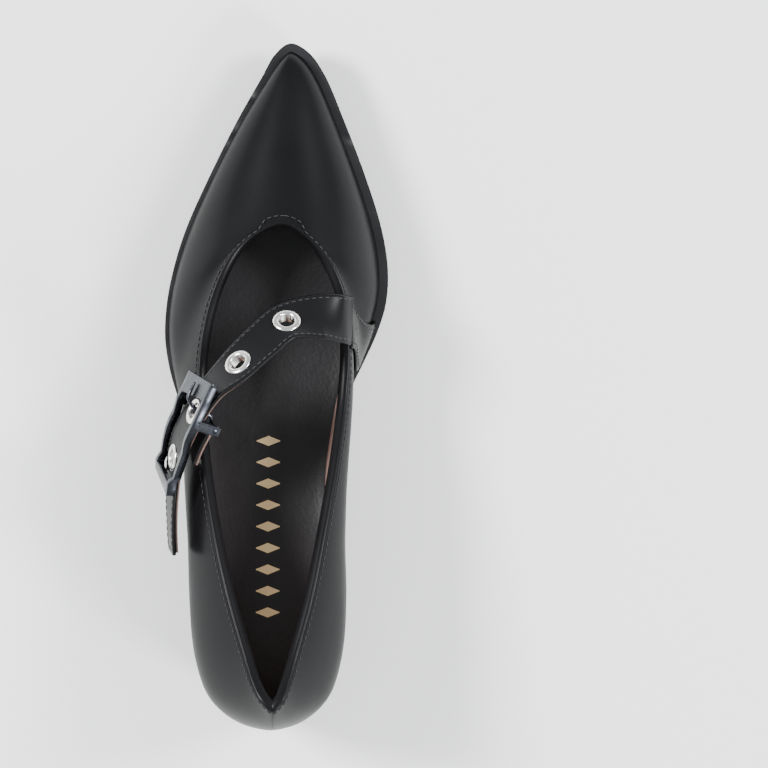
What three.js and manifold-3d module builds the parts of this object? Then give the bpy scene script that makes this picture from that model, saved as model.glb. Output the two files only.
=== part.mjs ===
// Pointed leather flat with a cleated sole, a stacked block heel and a buckled instep strap, left foot.
// Millimetres. +Y runs to the toe, +X to the inner side of the foot, +Z up. The origin lies on the
// ground under the middle of the heel.
import {
  BoxGeometry, BufferAttribute, BufferGeometry, CatmullRomCurve3, CylinderGeometry, ExtrudeGeometry,
  Group, LatheGeometry, Matrix4, Mesh, MeshStandardMaterial, PlaneGeometry, Shape, Vector2, Vector3,
} from 'three';
import { mergeVertices } from 'three/addons/utils/BufferGeometryUtils.js';
import Module from 'manifold-3d';

const wasm = await Module();
wasm.setup();

// ---- Driving dimensions -------------------------------------------------------------------------
const shoeLength = 268;
const ballWidth = 89;
const heelSeatHeight = 25.8; // top of the welt at the back of the heel
const ballHeight = 9.6; // top of the welt under the ball of the foot
const toeSpring = 10.2; // rise of the welt from the ball to the toe
const clearance = 0.3; // air between pieces that touch
const footClearance = 0.6; // under the upper, whose foot bends with the sole's edge

const weltThickness = 2.4;
const topPieceThickness = 3.5;
const cleatHeight = 1.5; // cleats under the heel
const liftCount = 9;
const heelLean = 4.4; // how far the heel block leans back from ground to seat
const heelBreast = 27; // front of the heel at the seat
const cleatPitch = 9.2;
const cleatLength = 6.2;
const cleatDepth = 10.5; // from the edge inwards

const upperThickness = 1.2;
const layerGap = 0.5; // between the layers of the upper, which are curved
const stiffenerThickness = 0.8;
const liningThickness = 0.7;

const strapWidth = 19;
const strapThickness = 1.2;
const strapLiningThickness = 0.8;
const firstEyelet = 31; // along the strap, from the inner edge of the opening
const eyeletPitch = 24.9;
const eyeletCount = 4;
const buckledEyelet = 3;
const eyeletBore = 3;
const eyeletWall = 0.6;
const eyeletFlange = 5.4;

const frameRail = 2.2; // width of the buckle's side rails
const frameInside = strapWidth + 2.2;
const barRadius = 1.1;
const barDepth = 5; // pivot bar below the strap
const prongRadius = 0.9;

// ---- Interpolation by distance along the shoe ---------------------------------------------------
const stretchX = ballWidth / 89;
const stretchY = shoeLength / 268;

// A smooth value against Y through [y, value] points, with y rising.
function profile(points) {
  const slope = (i) => {
    const a = points[Math.max(i - 1, 0)];
    const b = points[Math.min(i + 1, points.length - 1)];
    return (b[1] - a[1]) / (b[0] - a[0]);
  };
  return (y) => {
    const x = Math.min(Math.max(y / stretchY, points[0][0]), points.at(-1)[0]);
    let i = 0;
    while (i < points.length - 2 && x > points[i + 1][0]) i += 1;
    const [x0, v0] = points[i];
    const [x1, v1] = points[i + 1];
    const w = x1 - x0;
    const t = (x - x0) / w;
    const rise = t * t * (3 - 2 * t);
    const start = t * (1 - t) * (1 - t) * w * slope(i);
    const end = t * t * (t - 1) * w * slope(i + 1);
    return v0 + (v1 - v0) * rise + start + end;
  };
}

const heelRise = profile([
  [-40, 1], [0, 0.95], [26, 0.86], [35, 0.74], [47, 0.58], [63, 0.38], [79, 0.22], [95, 0.07], [108, 0],
]);
const toeRise = profile([
  [108, 0], [127, 0.2], [146, 0.39], [166, 0.55], [186, 0.7], [206, 0.82], [230, 1],
]);
const weltTop = (y) => ballHeight + (heelSeatHeight - ballHeight) * heelRise(y) + toeSpring * toeRise(y);

// Depths below the top of the welt.
const plateDepth = profile([[27, 5.2], [47, 5.4], [79, 5.8], [108, 6.4], [146, 7.6], [186, 7.7], [230, 7]]);
const treadDepth = profile([
  [27, 7], [47, 7.4], [71, 8.2], [95, 9.4], [103, 9.6], [108, 9.6], [112, 9.8], [127, 11], [146, 11.4],
  [166, 10.6], [186, 9.8], [206, 9.2], [230, 8.6],
]);

// ---- Shape of the last --------------------------------------------------------------------------
// Stations run from the toe to the back of the heel. Each row is the edge of the sole [x, y] and the
// top of the upper [x, y, rise above the welt]. The first seven rows share the ridge of the vamp.
const ridge = [
  [7.6, 225.2, 2.6], [7.5, 222.6, 6.5], [7.3, 217.5, 9.7], [7, 205, 14.9], [6.7, 188, 20.5],
  [6.3, 171.5, 26], [5.9, 157.3, 31.9],
];
const medialSole = [
  [15.2, 225.8], [21.6, 217], [29.3, 199], [37.8, 176.8], [44.4, 155.5], [46.8, 139.6], [46, 126.5],
  [42.3, 114.5], [36.8, 102.5], [31, 90], [26.8, 75], [23.5, 55], [24, 35], [26, 10], [25.8, -12],
  [21.5, -27], [11.5, -35],
];
const lateralSole = [
  [2.2, 225], [-3.2, 215.8], [-12.8, 199], [-24, 176.8], [-33.6, 155.5], [-38.6, 139.6], [-41.2, 126.5],
  [-42, 113], [-40.3, 101], [-36.8, 89], [-31.8, 75], [-27, 55], [-25.6, 35], [-26, 10], [-25.8, -12],
  [-21.5, -27], [-11.5, -35],
];
const soleTip = [8.2, 229.2];
const soleBack = [0, -36.3];
const medialTop = [
  [15.5, 151.6, 32.5], [24.5, 141.5, 32.9], [29.8, 129.5, 33.6], [31.6, 109, 35], [30.4, 89, 35.3],
  [27.2, 64.5, 40], [22.6, 38.5, 43.3], [17.3, 12, 47.6], [11.8, -8.5, 52.6], [8.9, -19.5, 57],
  [6.9, -25.6, 59.8],
];
const lateralTop = [
  [-4.5, 153.2, 32.2], [-13.5, 145.5, 32.5], [-20.8, 131.5, 33.4], [-25.5, 113.5, 34.5],
  [-27, 93, 34.6], [-24.9, 66, 39.8], [-20.2, 38, 43.5], [-14.3, 13, 47.4], [-8.2, -7.5, 52.4],
  [-4.5, -19.3, 56.8], [-1.2, -25.6, 59.7],
];
const topBack = [3, -29.4, 60.4];
const throat = ridge.length - 1; // station where the opening starts
const back = medialSole.length + 1; // station of the back seam
const around = 2 * back;

const lerp = (a, b, t) => a + (b - a) * t;

// Goes smoothly from 0 to 1 as the share does.
function ease(share) {
  const t = Math.min(Math.max(share, 0), 1);
  return t * t * (3 - 2 * t);
}

// How far the upper stands in from the edge of the sole, and how it swells between sole and top.
const reveal = {
  medial: profile([[-40, 1.2], [80, 1.3], [105, 2.6], [125, 3.4], [230, 3.4]]),
  lateral: profile([[-40, 1.2], [150, 1.4], [200, 1.8], [230, 3.4]]),
};
const lowSwell = {
  medial: profile([[-37, 8.5], [0, 11], [35, 9], [55, 6], [75, 4], [90, 3], [103, 2], [125, 1], [230, 0]]),
  lateral: profile([
    [-37, 8.5], [0, 13], [35, 13], [55, 12], [75, 8], [90, 4], [103, 1.5], [125, 0.5], [230, 0],
  ]),
};
const highSwell = {
  medial: profile([[-37, 10.5], [0, 13], [35, 11], [55, 9], [75, 6.5], [90, 4.5], [110, 4], [230, 0]]),
  lateral: profile([[-37, 10.5], [0, 13], [35, 11], [55, 9], [75, 7], [90, 6], [110, 4], [230, 0]]),
};
const wallRise = profile([[-40, 0.33], [90, 0.35], [120, 0.45], [230, 0.55]]);

const flat = ([x, y]) => new Vector3(x * stretchX, y * stretchY, 0);
const raised = ([x, y, rise]) => {
  const point = flat([x, y]);
  return point.setZ(weltTop(point.y) + rise);
};
const soleLoop = new CatmullRomCurve3(
  [soleTip, ...medialSole, soleBack, ...lateralSole.toReversed()].map(flat), true);
const topLoop = new CatmullRomCurve3(
  [ridge[throat], ...medialTop, topBack, ...lateralTop.toReversed()].map(raised), true);
const ridgeLine = new CatmullRomCurve3(ridge.map(raised));

// Stations count on past the heel to the outer side: lateral station s is at around - s.
const wrap = (station) => ((station % around) + around) % around;
const sideOf = (station) => (wrap(station) <= back ? 'medial' : 'lateral');
const fromToe = (station) => Math.min(wrap(station), around - wrap(station));

function soleEdge(station, inset) {
  const t = wrap(station) / around;
  const point = soleLoop.getPoint(t);
  const ahead = soleLoop.getPoint((t + 0.0005) % 1);
  const behind = soleLoop.getPoint((t + 0.9995) % 1);
  const along = ahead.sub(behind).normalize();
  const outward = new Vector3(-along.y, along.x, 0);
  return { point: point.addScaledVector(outward, -inset), outward };
}

function topEdge(station) {
  const count = fromToe(station);
  if (count <= throat) return ridgeLine.getPoint(count / throat);
  const span = topLoop.points.length;
  const place = sideOf(station) === 'medial' ? count - throat : span - (count - throat);
  return topLoop.getPoint(place / span);
}

// How fast the ridge rises backwards at a given Y.
function ridgeSlope(y) {
  const points = ridge.map(raised);
  let i = 0;
  while (i < points.length - 2 && points[i + 1].y >= y) i += 1;
  const slope = (points[i + 1].z - points[i].z) / (points[i].y - points[i + 1].y);
  return Math.min(slope, 0.6);
}

// Walls near the throat fan forward as they go down to the sole.
const fan = 0.95; // in stations, at the throat
const fanFront = 1;
const fanRear = 9.9;
function footStation(station) {
  const count = fromToe(station);
  const share = count < throat
    ? (count - fanFront) / (throat - fanFront)
    : (fanRear - count) / (fanRear - throat);
  const lead = fan * ease(share);
  return sideOf(station) === 'medial' ? station - lead : station + lead;
}

// A point of the upper's outside: height 0 is the welt, 1 the ridge or the edge of the opening.
function upperPoint(station, height) {
  const side = sideOf(station);
  const start = footStation(station);
  const y = soleEdge(start, 0).point.y;
  const { point: foot, outward } = soleEdge(start, reveal[side](y));
  foot.z = weltTop(foot.y) + footClearance;
  const top = topEdge(station);
  const rise = top.z - foot.z;
  const past = fromToe(station) - throat; // stations behind the throat
  const steep = ease(past / 5);
  const low = foot.clone().addScaledVector(outward, lowSwell[side](y));
  low.z += rise * wallRise(y);
  const high = top.clone().lerp(foot, 0.5 * (1 - steep));
  const climb = (top.y - high.y) * ridgeSlope(top.y) * (1 - ease(past / 2.5));
  high.z = top.z - rise * 0.33 * steep + climb;
  high.addScaledVector(outward, steep * highSwell[side](y));
  const t = height;
  const u = 1 - t;
  return new Vector3()
    .addScaledVector(foot, u * u * u)
    .addScaledVector(low, 3 * u * u * t)
    .addScaledVector(high, 3 * u * t * t)
    .addScaledVector(top, t * t * t);
}

// Station on one side whose sole edge lies at a given Y.
function stationAt(side, y) {
  let near = 0;
  let far = back;
  for (let i = 0; i < 30; i += 1) {
    const middle = (near + far) / 2;
    const here = soleEdge(side === 'medial' ? middle : -middle, 0).point.y;
    if (here > y) near = middle;
    else far = middle;
  }
  return side === 'medial' ? near : -near;
}

// ---- Solids -------------------------------------------------------------------------------------
function weld(geometry) {
  geometry.deleteAttribute('normal');
  geometry.deleteAttribute('uv');
  return mergeVertices(geometry, 1e-3);
}

function signedVolume(points, faces) {
  let sum = 0;
  for (const [a, b, c] of faces) sum += points[a].dot(points[b].clone().cross(points[c]));
  return sum / 6;
}

function indexed(points, faces) {
  const outward = signedVolume(points, faces) < 0 ? faces.map(([a, b, c]) => [a, c, b]) : faces;
  const geometry = new BufferGeometry().setFromPoints(points);
  geometry.setIndex(outward.flat());
  return geometry;
}

// Closes a body between two faces given over the unit square, each a function of (u, v). Where the
// first face folds onto itself, as at the ridge and the toe, its points are welded.
function between(outerAt, innerAt, columns, rows) {
  const grid = new PlaneGeometry(1, 1, columns, rows);
  const corner = grid.attributes.position;
  const seen = new Map();
  const outer = [];
  const inner = [];
  const at = [];
  for (let i = 0; i < corner.count; i += 1) {
    const u = corner.getX(i) + 0.5;
    const v = corner.getY(i) + 0.5;
    const point = outerAt(u, v);
    const key = point.toArray().map((value) => Math.round(value * 1000)).join();
    if (!seen.has(key)) {
      seen.set(key, outer.length);
      outer.push(point);
      inner.push(innerAt(u, v));
    }
    at.push(seen.get(key));
  }
  return rim(outer, inner, triangles(grid, at));
}

function triangles(grid, at) {
  const faces = [];
  for (let i = 0; i < grid.index.count; i += 3) {
    const [a, b, c] = [0, 1, 2].map((k) => at[grid.index.getX(i + k)]);
    if (a !== b && b !== c && c !== a) faces.push([a, b, c]);
  }
  return faces;
}

function rim(outer, inner, faces) {
  const count = outer.length;
  const directed = new Set(faces.flatMap(([a, b, c]) => [`${a},${b}`, `${b},${c}`, `${c},${a}`]));
  const closed = faces.flatMap(([a, b, c]) => [[a, b, c], [a + count, c + count, b + count]]);
  for (const edge of directed) {
    const [a, b] = edge.split(',').map(Number);
    if (directed.has(`${b},${a}`)) continue;
    closed.push([b, a, a + count], [b, a + count, b + count]);
  }
  return indexed([...outer, ...inner], closed);
}

// A sheet of leather or cloth: the same closed body, with both faces offset along the normals. It may
// be left open at one column of the grid.
function sheet(surfaceAt, columns, rows, outerOffset, innerOffset, openColumn = -1) {
  const grid = new PlaneGeometry(1, 1, columns, rows);
  const corner = grid.attributes.position;
  for (let i = 0; i < corner.count; i += 1) {
    const point = surfaceAt(corner.getX(i) + 0.5, corner.getY(i) + 0.5);
    corner.setXYZ(i, point.x, point.y, point.z);
  }
  grid.setIndex(Array.from(grid.index.array)
    .filter((_, i) => Math.floor(i / 6) % columns !== openColumn));
  const surface = weld(grid);
  const identity = Array.from({ length: surface.attributes.position.count }, (_, i) => i);
  const faces = triangles(surface, identity);
  surface.setIndex(faces.flat());
  surface.computeVertexNormals();
  const face = (offset) => identity.map((i) => new Vector3()
    .fromBufferAttribute(surface.attributes.position, i)
    .addScaledVector(new Vector3().fromBufferAttribute(surface.attributes.normal, i), offset));
  return rim(face(outerOffset), face(innerOffset), faces);
}

// A box whose corners are placed by a function of (u, v, w), each from 0 to 1.
function bentBox(at, columns = 1) {
  const box = weld(new BoxGeometry(1, 1, 1, columns, 1, 1));
  const corner = box.attributes.position;
  const points = [];
  for (let i = 0; i < corner.count; i += 1) {
    points.push(at(corner.getX(i) + 0.5, corner.getY(i) + 0.5, corner.getZ(i) + 0.5));
  }
  const identity = points.map((_, i) => i);
  return indexed(points, triangles(box, identity));
}

function toSolid(geometry) {
  const welded = geometry.attributes.normal ? weld(geometry) : geometry;
  return new wasm.Manifold(new wasm.Mesh({
    numProp: 3,
    vertProperties: new Float32Array(welded.attributes.position.array),
    triVerts: new Uint32Array(welded.index.array),
  }));
}

function toGeometry(solid) {
  const mesh = solid.getMesh();
  const geometry = new BufferGeometry();
  geometry.setAttribute('position', new BufferAttribute(mesh.vertProperties, 3));
  geometry.setIndex(new BufferAttribute(mesh.triVerts, 1));
  return geometry;
}

function rodBetween(from, to, radius, sides) {
  const rod = new CylinderGeometry(radius, radius, from.distanceTo(to), sides);
  const turn = new Mesh();
  turn.position.lerpVectors(from, to, 0.5);
  turn.quaternion.setFromUnitVectors(new Vector3(0, 1, 0), to.clone().sub(from).normalize());
  turn.updateMatrix();
  return rod.applyMatrix4(turn.matrix);
}

const pick = (list, share) => list[Math.round(share * (list.length - 1))];

const shoe = new Group();
const bottomUnit = new Group();
const upper = new Group();
const strap = new Group();
const buckle = new Group();
shoe.add(bottomUnit, upper, strap, buckle);

function piece(parent, name, geometry, color, roughness, metalness = 0) {
  const mesh = new Mesh(geometry, new MeshStandardMaterial({ color, roughness, metalness }));
  mesh.name = name;
  parent.add(mesh);
  return mesh;
}

// ---- Bottom unit --------------------------------------------------------------------------------
// A plate lies between the two edges of the sole. Its rows run from one station to another, and its
// faces are given by their height as a function of Y.
// All plates share the same rows, so that their faces stay parallel where they touch.
const breastStation = Math.abs(stationAt('medial', heelBreast * stretchY));
const outsoleEnd = Math.abs(stationAt('medial', (heelBreast + 2.2) * stretchY));
const plateStations = [
  0, 0.5, 1, 1.5, 2, 3, 4, 5, 6, 7, 8, 9, 10, 11, 11.5, 12, 12.5, 13, outsoleEnd, breastStation, 13.7,
  14, 14.5, 15, 16, 16.5, 17, 17.5, back,
];

function plate(first, last, insetAt, topZ, bottomZ, shiftY = 0) {
  const stations = plateStations.filter((station) => station >= first && station <= last);
  const face = (height) => (u, v) => {
    const station = pick(stations, v);
    const outer = soleEdge(-station, insetAt('lateral', station)).point;
    const inside = soleEdge(station, insetAt('medial', station)).point;
    const point = outer.lerp(inside, u);
    point.z = height(point.y);
    point.y += shiftY;
    return point;
  };
  return between(face(topZ), face(bottomZ), 2, stations.length - 1);
}

const flush = () => 0;
const below = (depth) => (y) => weltTop(y) - depth;
const above = (height) => (y) => weltTop(y) + height;
const revealAt = (side, station) => {
  const { point } = soleEdge(side === 'medial' ? station : -station, 0);
  return reveal[side](point.y);
};

const topPieceTop = cleatHeight + topPieceThickness;

const screwPlace = new Vector3(0, 0, 0);
const nailPlaces = [[-14, -18], [14, -18], [-14, 12], [14, 12]].map(([x, y]) => new Vector3(x, y, 0));
const screwRadius = 1.8;
const nailRadius = 0.8;
const screwLength = 17;
const nailLength = 9;

// The holes for the screw and the nails, as one cutter.
function fastenerHoles() {
  const nailHoles = nailPlaces.map((at) => [at, nailRadius, nailLength]);
  const holes = [[screwPlace, screwRadius, screwLength], ...nailHoles];
  return holes
    .map(([at, radius, length]) => {
      const top = at.clone().setZ(weltTop(at.y) + 1);
      const end = at.clone().setZ(weltTop(at.y) - length - clearance);
      return toSolid(rodBetween(end, top, radius + clearance, 8));
    })
    .reduce((all, hole) => all.add(hole));
}

const fastenerCutter = fastenerHoles();
const drilled = (geometry) => toGeometry(toSolid(geometry).subtract(fastenerCutter));

// One cleat: a block on the underside, from the edge of the sole inwards.
function cleat(side, y, depth, topZ, bottomZ, shiftY = 0) {
  const edgeInset = 0.8;
  return bentBox((u, v, w) => {
    const station = stationAt(side, y + (v - 0.5) * cleatLength);
    const point = soleEdge(station, edgeInset).point;
    point.x -= Math.sign(point.x - centreLine(y)) * u * depth;
    point.z = w > 0.5 ? topZ(point.y) : bottomZ(point.y);
    point.y += shiftY;
    return point;
  });
}

const centreLine = (y) => (y / (soleTip[1] * stretchY)) * soleTip[0] * stretchX;

// A flat block under the middle of the sole.
function pad(width, from, to, topZ, bottomZ) {
  return bentBox((u, v, w) => {
    const y = lerp(from, to, v);
    const x = centreLine((from + to) / 2) + (u - 0.5) * width;
    return new Vector3(x, y, w > 0.5 ? topZ(y) : bottomZ(y));
  });
}

function outsole() {
  const plateTop = below(weltThickness + clearance);
  const plateBottom = (y) => weltTop(y) - plateDepth(y);
  const tread = (y) => Math.max(weltTop(y) - treadDepth(y), 0);
  const rooted = (y) => plateBottom(y) + 1;
  let solid = toSolid(plate(0, outsoleEnd, flush, plateTop, plateBottom));
  const firstCleat = 38 * stretchY;
  const lastCleat = 212 * stretchY;
  for (let y = firstCleat; y < lastCleat; y += cleatPitch) {
    for (const side of ['medial', 'lateral']) {
      const reach = Math.abs(soleEdge(stationAt(side, y), 0).point.x - centreLine(y));
      const depth = Math.min(cleatDepth, reach - 2.5);
      solid = solid.add(toSolid(cleat(side, y, depth, rooted, tread)));
    }
  }
  for (const y of [60, 85, 140, 165, 190]) {
    solid = solid.add(toSolid(pad(18, y * stretchY - 4, y * stretchY + 4, rooted, tread)));
  }
  const ball = 109 * stretchY;
  solid = solid.add(toSolid(pad(26, ball - 5, ball + 5, rooted, () => 0)));
  return toGeometry(solid);
}
piece(bottomUnit, 'outsole', outsole(), '#17171a', 0.75);

function welt() {
  return drilled(plate(0, back, flush, below(0), below(weltThickness)));
}
piece(bottomUnit, 'midsole_welt', welt(), '#1d1c20', 0.6);

function heelTopPiece() {
  const depth = 8;
  let solid = toSolid(plate(breastStation, back, flush, () => topPieceTop, () => cleatHeight, heelLean));
  const ground = () => 0;
  const rooted = () => cleatHeight + 1;
  for (let y = heelBreast - 7; y > -26; y -= cleatPitch) {
    for (const side of ['medial', 'lateral']) {
      solid = solid.add(toSolid(cleat(side, y, depth, rooted, ground, heelLean)));
    }
  }
  solid = solid.add(toSolid(pad(22, -9, 9, rooted, ground)));
  return toGeometry(solid);
}
piece(bottomUnit, 'heel_top_piece', heelTopPiece(), '#151517', 0.8);

// The lifts share the height between the top piece and the welt, and each leans with the heel.
function heelLift(index) {
  const seat = below(weltThickness + clearance);
  const level = (share) => (y) => lerp(topPieceTop + clearance, seat(y), share);
  const lift = plate(
    breastStation, back, flush,
    (y) => level((index + 1) / liftCount)(y) - (index + 1 < liftCount ? clearance : 0),
    level(index / liftCount),
    heelLean * (1 - (index + 0.5) / liftCount));
  return drilled(lift);
}
for (let index = 0; index < liftCount; index += 1) {
  piece(bottomUnit, `heel_lift_${index + 1}`, heelLift(index), '#1b1613', 0.45);
}

// A headed fastener standing on the welt, point down, made as one turned profile.
function fastener(radius, head, headThickness, length) {
  return new LatheGeometry([
    new Vector2(0, -length), new Vector2(radius, -length + radius * 2), new Vector2(radius, clearance),
    new Vector2(head, clearance), new Vector2(head, headThickness + clearance),
    new Vector2(0, headThickness + clearance),
  ], 10).rotateX(Math.PI / 2);
}

function stand(mesh, at) {
  mesh.position.set(at.x, at.y, weltTop(at.y));
}
stand(piece(bottomUnit, 'heel_screw', weld(fastener(screwRadius, 4, 0.9, screwLength)), '#9a9a98', 0.4, 0.9),
  screwPlace);
nailPlaces.forEach((at, index) => {
  const nail = weld(fastener(nailRadius, 1.8, 0.6, nailLength));
  stand(piece(bottomUnit, `heel_nail_${index + 1}`, nail, '#8d8a82', 0.5, 0.9), at);
});

// The layers under the foot, from the welt up. The first lies beside nothing else, so the shank and
// the cork filler share it.
const shankThickness = 1.2;
const boardBottom = clearance + shankThickness + clearance;
const boardThickness = 1.6;
const paddingBottom = boardBottom + boardThickness + clearance;
const paddingThickness = 1.2;
const sockBottom = paddingBottom + paddingThickness + clearance;
const sockThickness = 0.8;
const wallInset = upperThickness + layerGap;
const liningInset = 3 * layerGap + upperThickness + stiffenerThickness + liningThickness;

function shank() {
  const from = 14 * stretchY;
  const to = 90 * stretchY;
  const width = 15;
  return bentBox((u, v, w) => {
    const y = lerp(from, to, u);
    return new Vector3((v - 0.5) * width, y, weltTop(y) + clearance + w * shankThickness);
  }, 8);
}
piece(bottomUnit, 'shank', shank(), '#77787a', 0.4, 0.9);

const innerInset = (extra) => (side, station) => revealAt(side, station) + extra;
piece(bottomUnit, 'forefoot_filler',
  plate(3, 9, innerInset(wallInset + 3),
    above(clearance + shankThickness), above(clearance)), '#8a6742', 0.95);
piece(bottomUnit, 'insole_board',
  plate(3, back, innerInset(wallInset + 1.6), above(boardBottom + boardThickness), above(boardBottom)),
  '#8b7355', 0.9);
piece(bottomUnit, 'sock_padding',
  plate(3, back, innerInset(liningInset), above(paddingBottom + paddingThickness), above(paddingBottom)),
  '#c9b98f', 1);
piece(bottomUnit, 'sock_lining',
  plate(3, back, innerInset(liningInset), above(sockBottom + sockThickness), above(sockBottom)),
  '#161517', 0.6);

// ---- Upper --------------------------------------------------------------------------------------
// A layer of the upper spans a list of stations, and a run of heights. Its two end columns may slope.
const heightSteps = 8;
const heights = (from) => Array.from({ length: heightSteps + 1 - from }, (_, i) => (from + i) / heightSteps);

function layer(stations, heightList, outerOffset, innerOffset, openAfter = null) {
  const columns = stations.toReversed();
  return sheet((u, v) => {
    const height = pick(heightList, v);
    const column = pick(columns, u);
    const station = typeof column === 'function' ? column(height) : column;
    return upperPoint(station, height);
  }, columns.length - 1, heightList.length - 1, outerOffset, innerOffset, columns.indexOf(openAfter));
}

const range = (from, to) => Array.from({ length: to - from + 1 }, (_, i) => from + i);
const seamGap = 0.04; // in stations, about 0.5 mm
const liningSeamGap = 0.22; // wider, because the lining lies on the inside of the curve

// The vamp joins the quarters under the strap base on the inner side and under the buckle outside.
const medialSeam = (height) => 8.8 + 0.8 * height;
const lateralSeam = () => -11;
const toeStations = [-1.5, -1, -0.5, 0, 0.5, 1, 1.5];
const vampStations = [...range(-10, -2), ...toeStations, ...range(2, 7)];
const quarterStations = plateStations.filter((station) => station > 9.9 && station < back);
// The opening curves tightly at the heel, so the two sides stand further apart at the top.
const backGap = (gap) => (h) => gap * (1 + 4 * h ** 4);
const quarterRows = (from, gap) => quarterStations
  .filter((station) => station > from && station < back - backGap(gap)(1) - 0.1);
const medialQuarter = (gap) => [
  (h) => medialSeam(h) + gap, ...quarterRows(9.9, gap), (h) => back - backGap(gap)(h)];
const lateralQuarter = (gap) => [
  (h) => back + backGap(gap)(h),
  ...quarterRows(11.2, gap).toReversed().map((station) => around - station),
  (h) => around + lateralSeam(h) - gap,
];

piece(upper, 'vamp', layer([lateralSeam, ...vampStations, medialSeam], heights(0), 0, -upperThickness),
  '#0f0f11', 0.38);
piece(upper, 'quarter_medial', layer(medialQuarter(seamGap), heights(0), 0, -upperThickness),
  '#0f0f11', 0.38);
piece(upper, 'quarter_lateral', layer(lateralQuarter(seamGap), heights(0), 0, -upperThickness),
  '#0f0f11', 0.38);

const counterHalf = quarterStations.filter((station) => station > 13.9);
const counterOther = counterHalf.toReversed().map((station) => around - station);
const counterStations = [...counterHalf, back, ...counterOther];

const stiffenerOut = -upperThickness - layerGap;
const liningOut = stiffenerOut - stiffenerThickness - layerGap;
const liningFront = 4; // station where the vamp lining ends, short of the toe puff's point
const lowRow = 2; // stiffeners and linings start above the insole board
piece(upper, 'toe_puff',
  layer(range(-4, 4), heights(lowRow).slice(0, -2), stiffenerOut, stiffenerOut - stiffenerThickness),
  '#6b6257', 0.9);
piece(upper, 'heel_counter',
  layer(counterStations, heights(lowRow).slice(0, 4), stiffenerOut, stiffenerOut - stiffenerThickness),
  '#6b6257', 0.9);
piece(upper, 'vamp_lining',
  layer([lateralSeam, ...range(-10, -liningFront), ...range(liningFront, 7), medialSeam],
    heights(lowRow), liningOut, liningOut - liningThickness, liningFront), '#141315', 0.7);
piece(upper, 'quarter_lining_medial',
  layer(medialQuarter(liningSeamGap), heights(lowRow), liningOut, liningOut - liningThickness),
  '#b4948a', 0.75);
piece(upper, 'quarter_lining_lateral',
  layer(lateralQuarter(liningSeamGap), heights(lowRow), liningOut, liningOut - liningThickness),
  '#b4948a', 0.75);

// ---- Strap --------------------------------------------------------------------------------------
// The strap's path from the inner edge of the opening, over the instep, down the outer side, with the
// direction of its width at each point, from the front edge to the rear one.
const strapRoute = [
  [32, 118.8, 36.6, 0, -1, 0], [28.5, 119.6, 42.8, 0.05, -1, 0.05], [20, 120, 48.5, 0.2, -0.9, 0.35],
  [7.3, 117.7, 53.9, 0.32, -0.71, 0.62], [-2, 110, 57.4, 0.45, -0.62, 0.62],
  [-11, 101.3, 59.9, 0.52, -0.5, 0.68], [-19.9, 93.2, 59.6, 0.45, -0.32, 0.9],
  [-27, 83.2, 57, 0.42, -0.22, 0.98], [-32, 74.5, 50.5, 0.36, -0.22, 0.98],
  [-35.3, 66.5, 43, 0.28, -0.26, 0.92], [-37, 53, 37.4, 0.22, -0.25, 0.94],
  [-37.2, 40, 35.2, 0.17, -0.2, 0.97], [-36.8, 29, 34, 0.15, -0.2, 0.97],
];

// A band that follows a line, with the direction of its width at each point of the line. Its own
// axes at a distance are the way along, the way across to its rear edge, and outward.
function ribbon(points, widths) {
  const line = new CatmullRomCurve3(points);
  line.arcLengthDivisions = 400;
  const hints = new CatmullRomCurve3(widths);
  const span = line.getLength();
  const axes = (distance) => {
    const t = line.getUtoTmapping(0, Math.min(Math.max(distance, 0), span));
    const along = line.getTangent(t);
    const across = hints.getPoint(t);
    across.addScaledVector(along, -across.dot(along)).normalize();
    return { origin: line.getPoint(t), along, across, outward: along.clone().cross(across) };
  };
  const point = (distance, aside, lift) => {
    const { origin, across, outward } = axes(distance);
    return origin.addScaledVector(across, aside).addScaledVector(outward, lift);
  };
  return { span, axes, point };
}

const { span: strapSpan, axes: strapAxes, point: strapPoint } = ribbon(
  strapRoute.map(([x, y, rise]) => new Vector3(x * stretchX, y * stretchY, ballHeight + rise)),
  strapRoute.map(([, , , x, y, z]) => new Vector3(x, y, z)));

// Turns a piece made about its own Y axis so that the axis stands on the strap.
function strapFrame(distance, lift) {
  const { along, across, outward } = strapAxes(distance);
  return new Matrix4()
    .makeBasis(along, outward, across.clone().negate())
    .setPosition(strapPoint(distance, 0, lift));
}

const eyeletPlaces = Array.from({ length: eyeletCount }, (_, i) => firstEyelet + i * eyeletPitch);
const barPlace = eyeletPlaces[buckledEyelet - 1] + 1;

function strapLayer(from, to, width, outer, inner) {
  const steps = 30;
  return sheet((u, v) => strapPoint(lerp(from, to, u), (v - 0.5) * width, 0), steps, 2, outer, inner);
}

function punched(geometry) {
  const radius = eyeletBore + eyeletWall + clearance;
  return toGeometry(eyeletPlaces.reduce((solid, place) => {
    const punch = new CylinderGeometry(radius, radius, 12, 14).applyMatrix4(strapFrame(place, 0));
    return solid.subtract(toSolid(punch));
  }, toSolid(geometry)));
}

// The strap's base is stitched flat on the quarter, from the sole to the edge of the opening.
function strapBase() {
  const lift = layerGap;
  const front = (height) => lerp(8.05, 9.1, height);
  const rear = (height) => lerp(9.3, 10.05, height);
  return sheet((u, v) => {
    const height = 0.02 + 0.98 * v;
    return upperPoint(lerp(rear(height), front(height), u), height);
  }, 4, 10, lift + strapThickness, lift);
}
piece(strap, 'strap_base', strapBase(), '#0f0f11', 0.35);
piece(strap, 'strap_leather', punched(strapLayer(0, strapSpan, strapWidth, strapThickness, 0)),
  '#0f0f11', 0.3);
const strapLiningTop = -layerGap;
const strapLiningBottom = strapLiningTop - strapLiningThickness;
piece(strap, 'strap_lining',
  punched(strapLayer(1.6, strapSpan - 0.6, strapWidth - 1, strapLiningTop, strapLiningBottom)),
  '#6f5d55', 0.8);

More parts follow.
